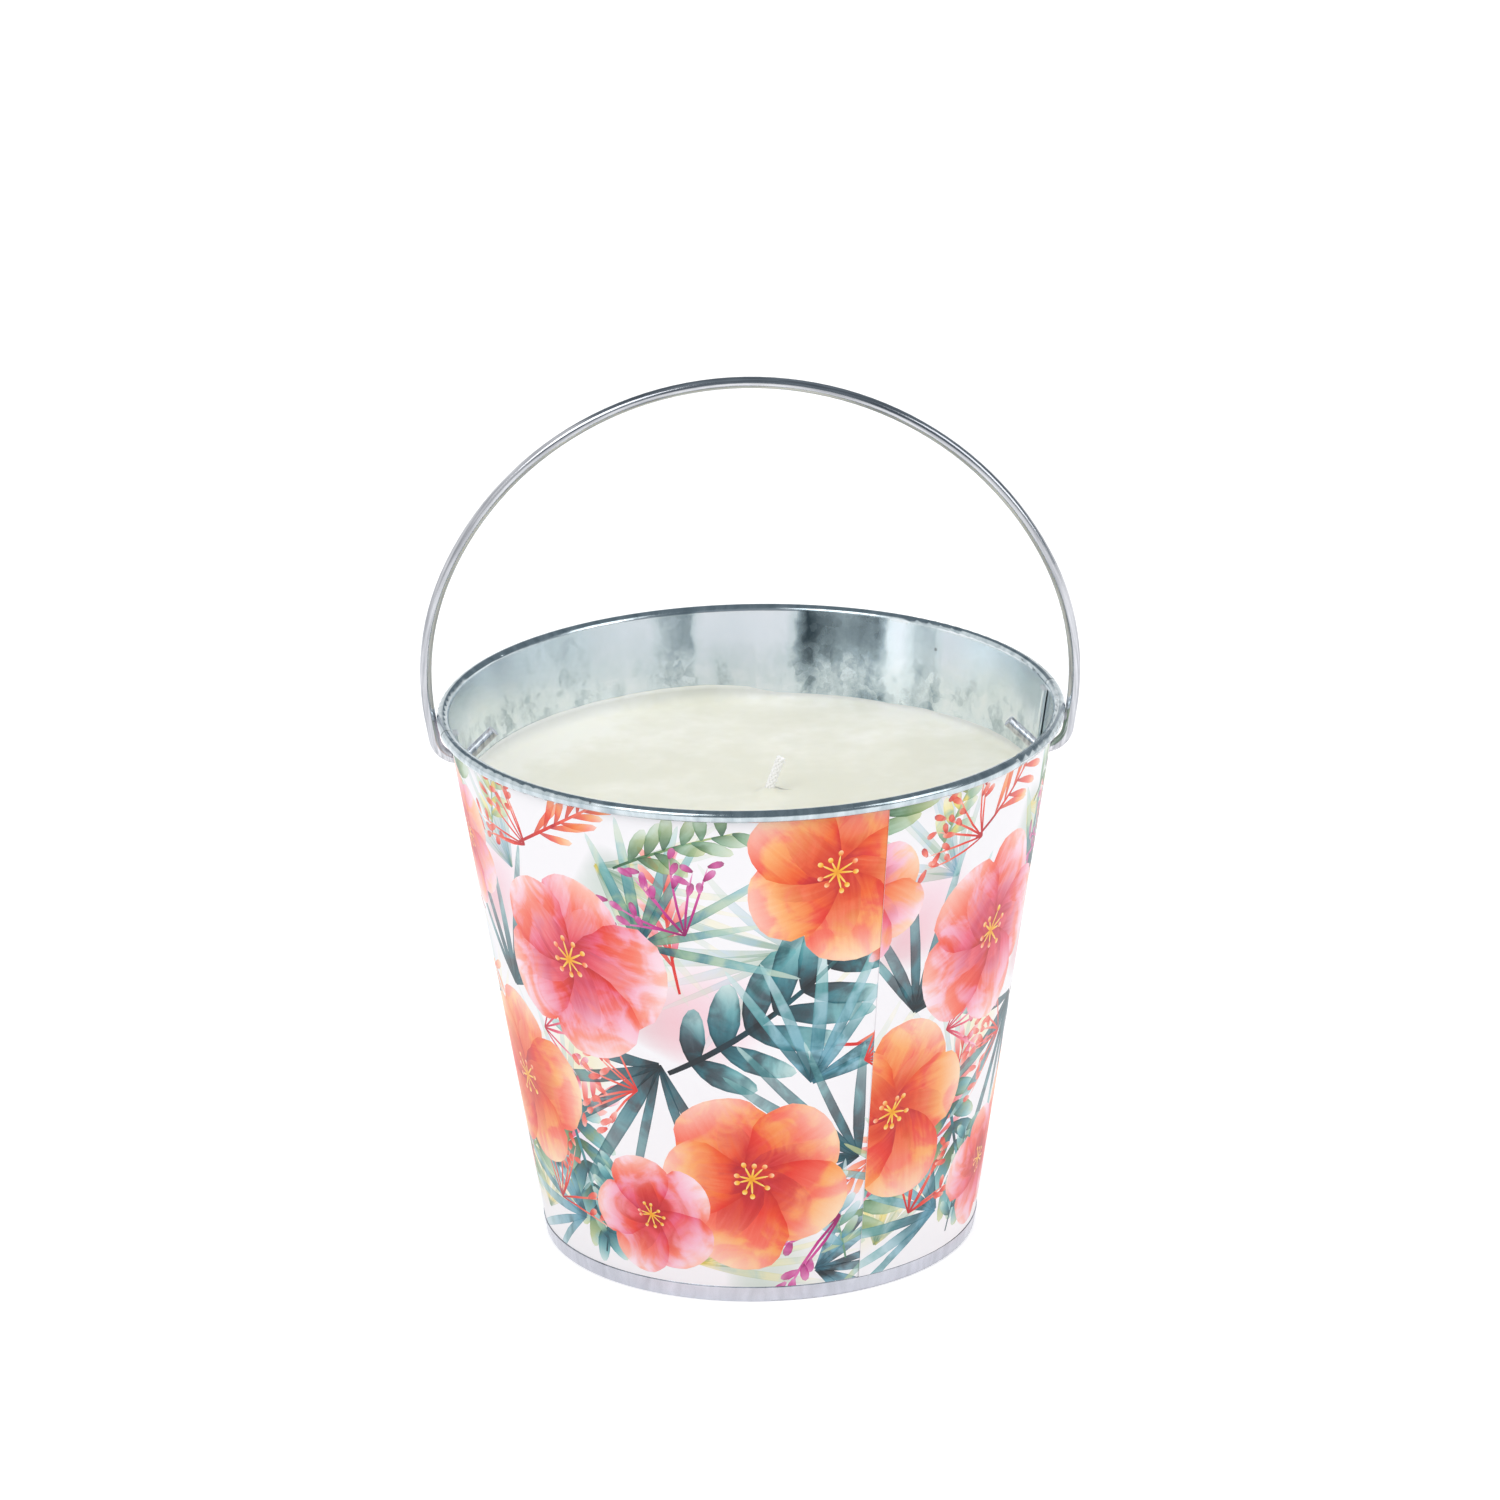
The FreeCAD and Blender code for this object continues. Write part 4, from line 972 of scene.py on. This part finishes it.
def cut_strip(loops, rows, border=()):
    """Points and triangles of the strip, cut along its upright lines and the closed loops."""
    starts = np.vstack(loops)
    ends = np.vstack([np.roll(loop, -1, axis=0) for loop in loops])
    middle = turn_of(starts)
    border = np.array(border).reshape(-1, 2)
    border_turn = turn_of(border)
    turns = sorted(set(np.arange(0, STRIP_END, GRID_STEP)) | {STEP_START, STEP_END, STRIP_END})
    even = (np.arange(rows) + 0.5) / rows
    places, triangles, count = [], [], 0
    for left, right in zip(turns, turns[1:]):
        tile = np.array([flat_point(turn, height) for turn, height in (
            (left, 0), (left, SLANT), (right, SLANT), (right, 0))])
        near = (middle > left - EDGE_REACH) & (middle < right + EDGE_REACH)
        low, high = clip_to_tile(starts[near], ends[near], tile)
        beside = (border_turn > left - 1e-3) & (border_turn < right + 1e-3)
        corners = np.vstack((low, high, border[beside]))
        edges = [(n, len(low) + n) for n in range(len(low))]
        # both tiles at a shared side get the same points on it
        for first, second, steps, loose in SIDES:
            number = snap_to_side(corners, tile[first], tile[second], steps)
            number = np.unique(np.concatenate((number, np.round(even[:loose] * steps),
                                               (0, steps))))
            line = tile[first] + number[:, None] / steps * (tile[second] - tile[first])
            edges += [(len(corners) + n, len(corners) + n + 1) for n in range(len(line) - 1)]
            corners = np.vstack((corners, line))
        centre_line = [flat_point((left + right) / 2, height * SLANT) for height in even]
        corners = np.vstack((corners, centre_line)) - tile[0]
        result = geometry.delaunay_2d_cdt([Vector(corner) for corner in corners], edges, [], 1,
                                          TOUCH, False)
        spots = np.array([tuple(place) for place in result[0]]) + tile[0]
        found = np.array(result[2])
        # slivers with all three corners on one side of the tile are left out
        for first, second, _, _ in SIDES:
            on_side = distance_to_line(spots, tile[first], tile[second]) < TOUCH
            found = found[~on_side[found].all(axis=1)]
        places.append(spots)
        triangles.append(found + count)
        count += len(spots)
    return weld(np.vstack(places), np.vstack(triangles))


def finder_of(places):
    """A tree that finds the nearest of many flat places."""
    finder = kdtree.KDTree(len(places))
    for number, place in enumerate(places):
        finder.insert((*place, 0), number)
    finder.balance()
    return finder


def weld(places, triangles):
    """Join the points that two tiles share."""
    finder = finder_of(places)
    owner = np.arange(len(places))
    for number, place in enumerate(places):
        if owner[number] == number:
            for _, twin, _ in finder.find_range((*place, 0), WELD_REACH):
                if twin > number:
                    owner[twin] = number
    kept, renumbered = np.unique(owner, return_inverse=True)
    triangles = renumbered[triangles]
    whole = (triangles != np.roll(triangles, -1, axis=1)).all(axis=1)
    return places[kept], triangles[whole]


def inside_loop(spots, loop):
    """Which spots a closed loop winds round."""
    start, end = loop, np.roll(loop, -1, axis=0)
    start_below, end_below = start[:, 1, None] <= spots[:, 1], end[:, 1, None] <= spots[:, 1]
    up, down = start_below & ~end_below, ~start_below & end_below
    run = end - start
    side = (run[:, 0, None] * (spots[:, 1] - start[:, 1, None])
            - run[:, 1, None] * (spots[:, 0] - start[:, 0, None]))
    return ((up & (side > 0)).sum(axis=0) != (down & (side < 0)).sum(axis=0))


def triangles_inside(centres, loop):
    near = np.flatnonzero((centres > loop.min(axis=0)).all(axis=1)
                          & (centres < loop.max(axis=0)).all(axis=1))
    return near[inside_loop(centres[near], loop)]


# degrees beyond a tile from which an edge may reach in; mm within which points are one point
EDGE_REACH, WELD_REACH, TOUCH, ROWS = 25.0, 0.0002, 1e-4, 36
# a tile's sides: the corners they join, their even steps, their grid points (None for all)
SIDES = [(0, 1, 12000, None), (3, 2, 12000, None), (0, 3, 2000, 0), (1, 2, 2000, 0)]
outlines = [outline(stroke) for stroke in strokes]
holes = []
for turn in (-JOINT_ANGLE, 180 - JOINT_ANGLE):
    middle = flat_point(turn, (HOLE_HEIGHT - film_low) / math.cos(LEAN))
    holes.append(np.array([middle + HOLE_RADIUS * np.array((math.cos(a), math.sin(a)))
                           for a in np.linspace(0, 2 * math.pi, 24, endpoint=False)]))


def open_holes(places, triangles, holes):
    centres = places[triangles].mean(axis=1)
    filled = np.ones(len(triangles), bool)
    for hole in holes:
        filled[triangles_inside(centres, hole)] = False
    return triangles[filled]


places, triangles = cut_strip(outlines + holes, ROWS)
triangles = open_holes(places, triangles, holes)
print("strip:", len(places), "points,", len(triangles), "triangles")


# %% [markdown]
# Now the inks. Strokes are laid down in order, as in painting. Each triangle corner under a
# stroke takes the stroke's two colours at its place along the spine, thinned where the stroke is
# thin. It also remembers where it lies on the topmost stroke, for veins and for the darker rim
# that a drying wash leaves.

# %% Lay the inks
spots = places[triangles].reshape(-1, 2)
first_ink = np.tile(inks(GROUND)[0], (len(spots), 1))
second_ink = first_ink.copy()
vein_share, rim_share = np.zeros(len(spots)), np.zeros(len(spots))
brush_place, across_place = np.zeros((len(spots), 3)), np.zeros(len(spots))
STOPS = np.linspace(0, 1, 4)


def place_on_stroke(spots, stroke):
    """Share of the way along a stroke, signed share of its half-width, and that half-width."""
    start, run = stroke.spine[:-1], np.diff(stroke.spine, axis=0)
    apart = spots[:, None, :] - start
    share = np.clip((apart * run).sum(axis=2) / (run ** 2).sum(axis=1), 0, 1)
    gap = apart - share[..., None] * run
    distance = np.hypot(gap[..., 0], gap[..., 1])
    piece = distance.argmin(axis=1)
    row = np.arange(len(spots))
    share, distance, apart = share[row, piece], distance[row, piece], apart[row, piece]
    along = stroke.along[piece] + share * np.diff(stroke.along)[piece]
    half = stroke.half[piece] + share * np.diff(stroke.half)[piece]
    side = np.sign(run[piece, 0] * apart[:, 1] - run[piece, 1] * apart[:, 0])
    return along, side * np.clip(distance / half, 0, 1), half


centres = places[triangles].mean(axis=1)
for stroke, loop in zip(strokes, outlines):
    covered = triangles_inside(centres, loop)
    if not len(covered):
        continue
    corner = (covered[:, None] * 3 + np.arange(3)).ravel()
    along, side, half = place_on_stroke(spots[corner], stroke)
    cover = np.interp(along, (0, 1), stroke.strength)
    if stroke.rim < 0:
        cover = cover * (1 - side ** 2) * (1 - (2 * along - 1) ** 4)
    for ink, shades in ((first_ink, stroke.first), (second_ink, stroke.second)):
        wet = np.column_stack([np.interp(along, STOPS, shades[:, c]) for c in range(3)])
        ink[corner] += (wet - ink[corner]) * cover[:, None]
    if stroke.rim >= 0:
        length = np.hypot(*np.diff(stroke.spine, axis=0).T).sum()
        vein_share[corner] = stroke.veins * (1 - 0.7 * along)
        rim_share[corner] = stroke.rim
        across_place[corner] = side
        brush_place[corner] = np.column_stack((side * half, along * length,
                                               np.full(len(corner), stroke.seed * 90)))
print("inked corners:", int((rim_share > 0).sum()), "of", len(spots))


# %% [markdown]
# The film is a closed thin sheet: the painted outer face, a plain inner face with the same
# border, and a narrow edge that joins the two.

# %% Roll the strip up and give it its thickness
pairs = np.vstack((triangles[:, (0, 1)], triangles[:, (1, 2)], triangles[:, (2, 0)]))
names = pairs.min(axis=1) * len(places) + pairs.max(axis=1)
_, first_seen, times = np.unique(names, return_index=True, return_counts=True)
border = pairs[first_seen[times == 1]]
rim_points = places[np.unique(border)]
inner_holes = []
for hole in holes:
    spokes = rim_points - hole.mean(axis=0)
    round_hole = np.hypot(*spokes.T) < HOLE_RADIUS + 0.1
    order = np.argsort(np.arctan2(spokes[round_hole, 1], spokes[round_hole, 0]))
    inner_holes.append(rim_points[round_hole][order])
    rim_points = rim_points[~round_hole]
inner_places, inner_triangles = cut_strip(inner_holes, ROWS // 3, rim_points)
inner_triangles = open_holes(inner_places, inner_triangles, inner_holes)
finder = finder_of(inner_places)
partner = {one: finder.find((*places[one], 0))[1] + len(places) for one in np.unique(border)}

outer_points, outer_facing = roll_up(places)
inner_points, inner_facing = roll_up(inner_places, FILM)
sides = [(last, one, partner[one], partner[last]) for one, last in border[:, ::-1]]
faces = ([tuple(face) for face in triangles[:, ::-1]]
         + [tuple(face) for face in inner_triangles + len(places)] + sides)
film_mesh = bpy.data.meshes.new("painted_film")
film_mesh.from_pydata(np.vstack((outer_points, inner_points)).tolist(), [], faces)
print("film:", len(faces), "faces,", len(sides), "on its edge")


# %% Colours, normals and a flat layout
outer_count, inner_count = len(triangles) * 3, len(inner_triangles) * 3
corner_count = outer_count + inner_count + len(sides) * 4
turned_round = np.arange(outer_count).reshape(-1, 3)[:, ::-1].ravel()
white = np.append(inks(GROUND)[0], 0)


def keep(name, kind, values, fill):
    """Store one value for each corner of the mesh; inner face and edge get the fill."""
    full = np.tile(np.array(fill, dtype=float), (corner_count, 1))
    full[:outer_count] = values[turned_round].reshape(outer_count, -1)
    layer = film_mesh.attributes.new(name, kind, "CORNER")
    field = {"FLOAT_COLOR": "color", "FLOAT_VECTOR": "vector", "FLOAT": "value"}[kind]
    layer.data.foreach_set(field, full.ravel())


keep("first_ink", "FLOAT_COLOR", np.column_stack((first_ink, vein_share)), white)
keep("second_ink", "FLOAT_COLOR", np.column_stack((second_ink, rim_share)), white)
keep("brush_place", "FLOAT_VECTOR", brush_place, (0, 0, 0))
keep("across", "FLOAT", across_place, (0,))

facing = np.zeros((corner_count, 3))
facing[:outer_count] = outer_facing[triangles[:, ::-1].ravel()]
facing[outer_count:outer_count + inner_count] = -inner_facing[inner_triangles.ravel()]
film_mesh.polygons.foreach_set("use_smooth", [True] * len(faces))
film_mesh.normals_split_custom_set(facing.tolist())

# the strip's two halves lie one above the other in the layout, the inner face beside them
OUTER_WIDTH, INNER_START, INNER_WIDTH = 0.9, 0.905, 0.09
half_way = GRID_STEP * round(STRIP_END / 2 / GRID_STEP)
flat_all = np.vstack((places, inner_places))
loop_vertices = np.array([corner for face in faces for corner in face])
turn, height = turn_of(flat_all)[loop_vertices], np.hypot(*flat_all.T)[loop_vertices] - reach_low
face_sizes = [len(face) for face in faces]
face_turn = np.add.reduceat(turn, np.cumsum([0] + face_sizes[:-1])) / face_sizes
upper = np.repeat(face_turn > half_way, face_sizes)
side_by_side = np.column_stack(((turn - half_way * upper) / half_way * OUTER_WIDTH,
                                (height / SLANT + upper) / 2))
behind = slice(outer_count, None)
side_by_side[behind] = np.column_stack((INNER_START + INNER_WIDTH * height[behind] / SLANT,
                                        turn[behind] / STRIP_END))
layout = film_mesh.uv_layers.new(name="OFBake")
layout.data.foreach_set("uv", np.clip(side_by_side, 0, 1).ravel())
print("corners:", corner_count, "half way at", half_way, "degrees")


# %% [markdown]
# The film is printed and laminated polypropylene: a smooth, semi-gloss face. The print on it is
# a watercolour, whose inks ran into each other while wet. So one ink bleeds into the other by a
# noise, which follows the stroke where it has veins, and pigment gathers along its rim.

# %% Printed film's finish
film_finish, tree, shader, place = new_finish("printed_polypropylene_film")
first, second, brush, edge = [
    add(tree, "ShaderNodeAttribute", attribute_name=name).outputs
    for name in ("first_ink", "second_ink", "brush_place", "across")]
clouds = add(tree, "ShaderNodeTexNoise", place, Scale=1 / (11 * MM), Detail=4.0, Distortion=1.2)
stretched = add(tree, "ShaderNodeVectorMath", brush["Vector"], (1.0, 0.09, 1.0),
                operation="MULTIPLY")
veins = add(tree, "ShaderNodeTexNoise", stretched, Scale=1.0, Detail=3.0, Distortion=0.3)
vein_height = add(tree, "ShaderNodeMath", veins, 0.5, operation="SUBTRACT")
ridge = add(tree, "ShaderNodeMath", vein_height, first["Alpha"], operation="MULTIPLY")
wet = add(tree, "ShaderNodeMath", ridge, 0.3, clouds, operation="MULTIPLY_ADD")
bleed = add(tree, "ShaderNodeMapRange", wet, From_Min=0.38, From_Max=0.62,
            interpolation_type="SMOOTHSTEP")
colour = add(tree, "ShaderNodeMix", bleed, i6=first["Color"], i7=second["Color"],
             data_type="RGBA")
# pigment: more of it in the veins, along the rim and in fine grains of the paper
sharp = add(tree, "ShaderNodeMath", edge["Fac"], operation="ABSOLUTE")
rim = add(tree, "ShaderNodeMapRange", sharp, From_Min=0.7, From_Max=1.0,
          interpolation_type="SMOOTHSTEP")
rim = add(tree, "ShaderNodeMath", rim, second["Alpha"], operation="MULTIPLY")
grain = add(tree, "ShaderNodeTexNoise", place, Scale=1 / (0.5 * MM), Detail=2.0)
depth = 1.0
for pigment, share in ((rim, 0.35), (ridge, 1.2), (grain, 0.12)):
    depth = add(tree, "ShaderNodeMath", pigment, share, depth, operation="MULTIPLY_ADD")
colour = add(tree, "ShaderNodeGamma", colour.outputs[2], depth)
smears = add(tree, "ShaderNodeTexNoise", place, Scale=1 / (16 * MM), Detail=4.0)
rough = add(tree, "ShaderNodeMapRange", smears, To_Min=0.3, To_Max=0.44)
feed(shader, Base_Color=colour, Roughness=rough)
film_mesh.materials.append(film_finish)

painted_film = show("painted_film", film_mesh)
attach(painted_film, "bucket")
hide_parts("printed_wrap")
print("film finish on", len(film_mesh.polygons), "faces")
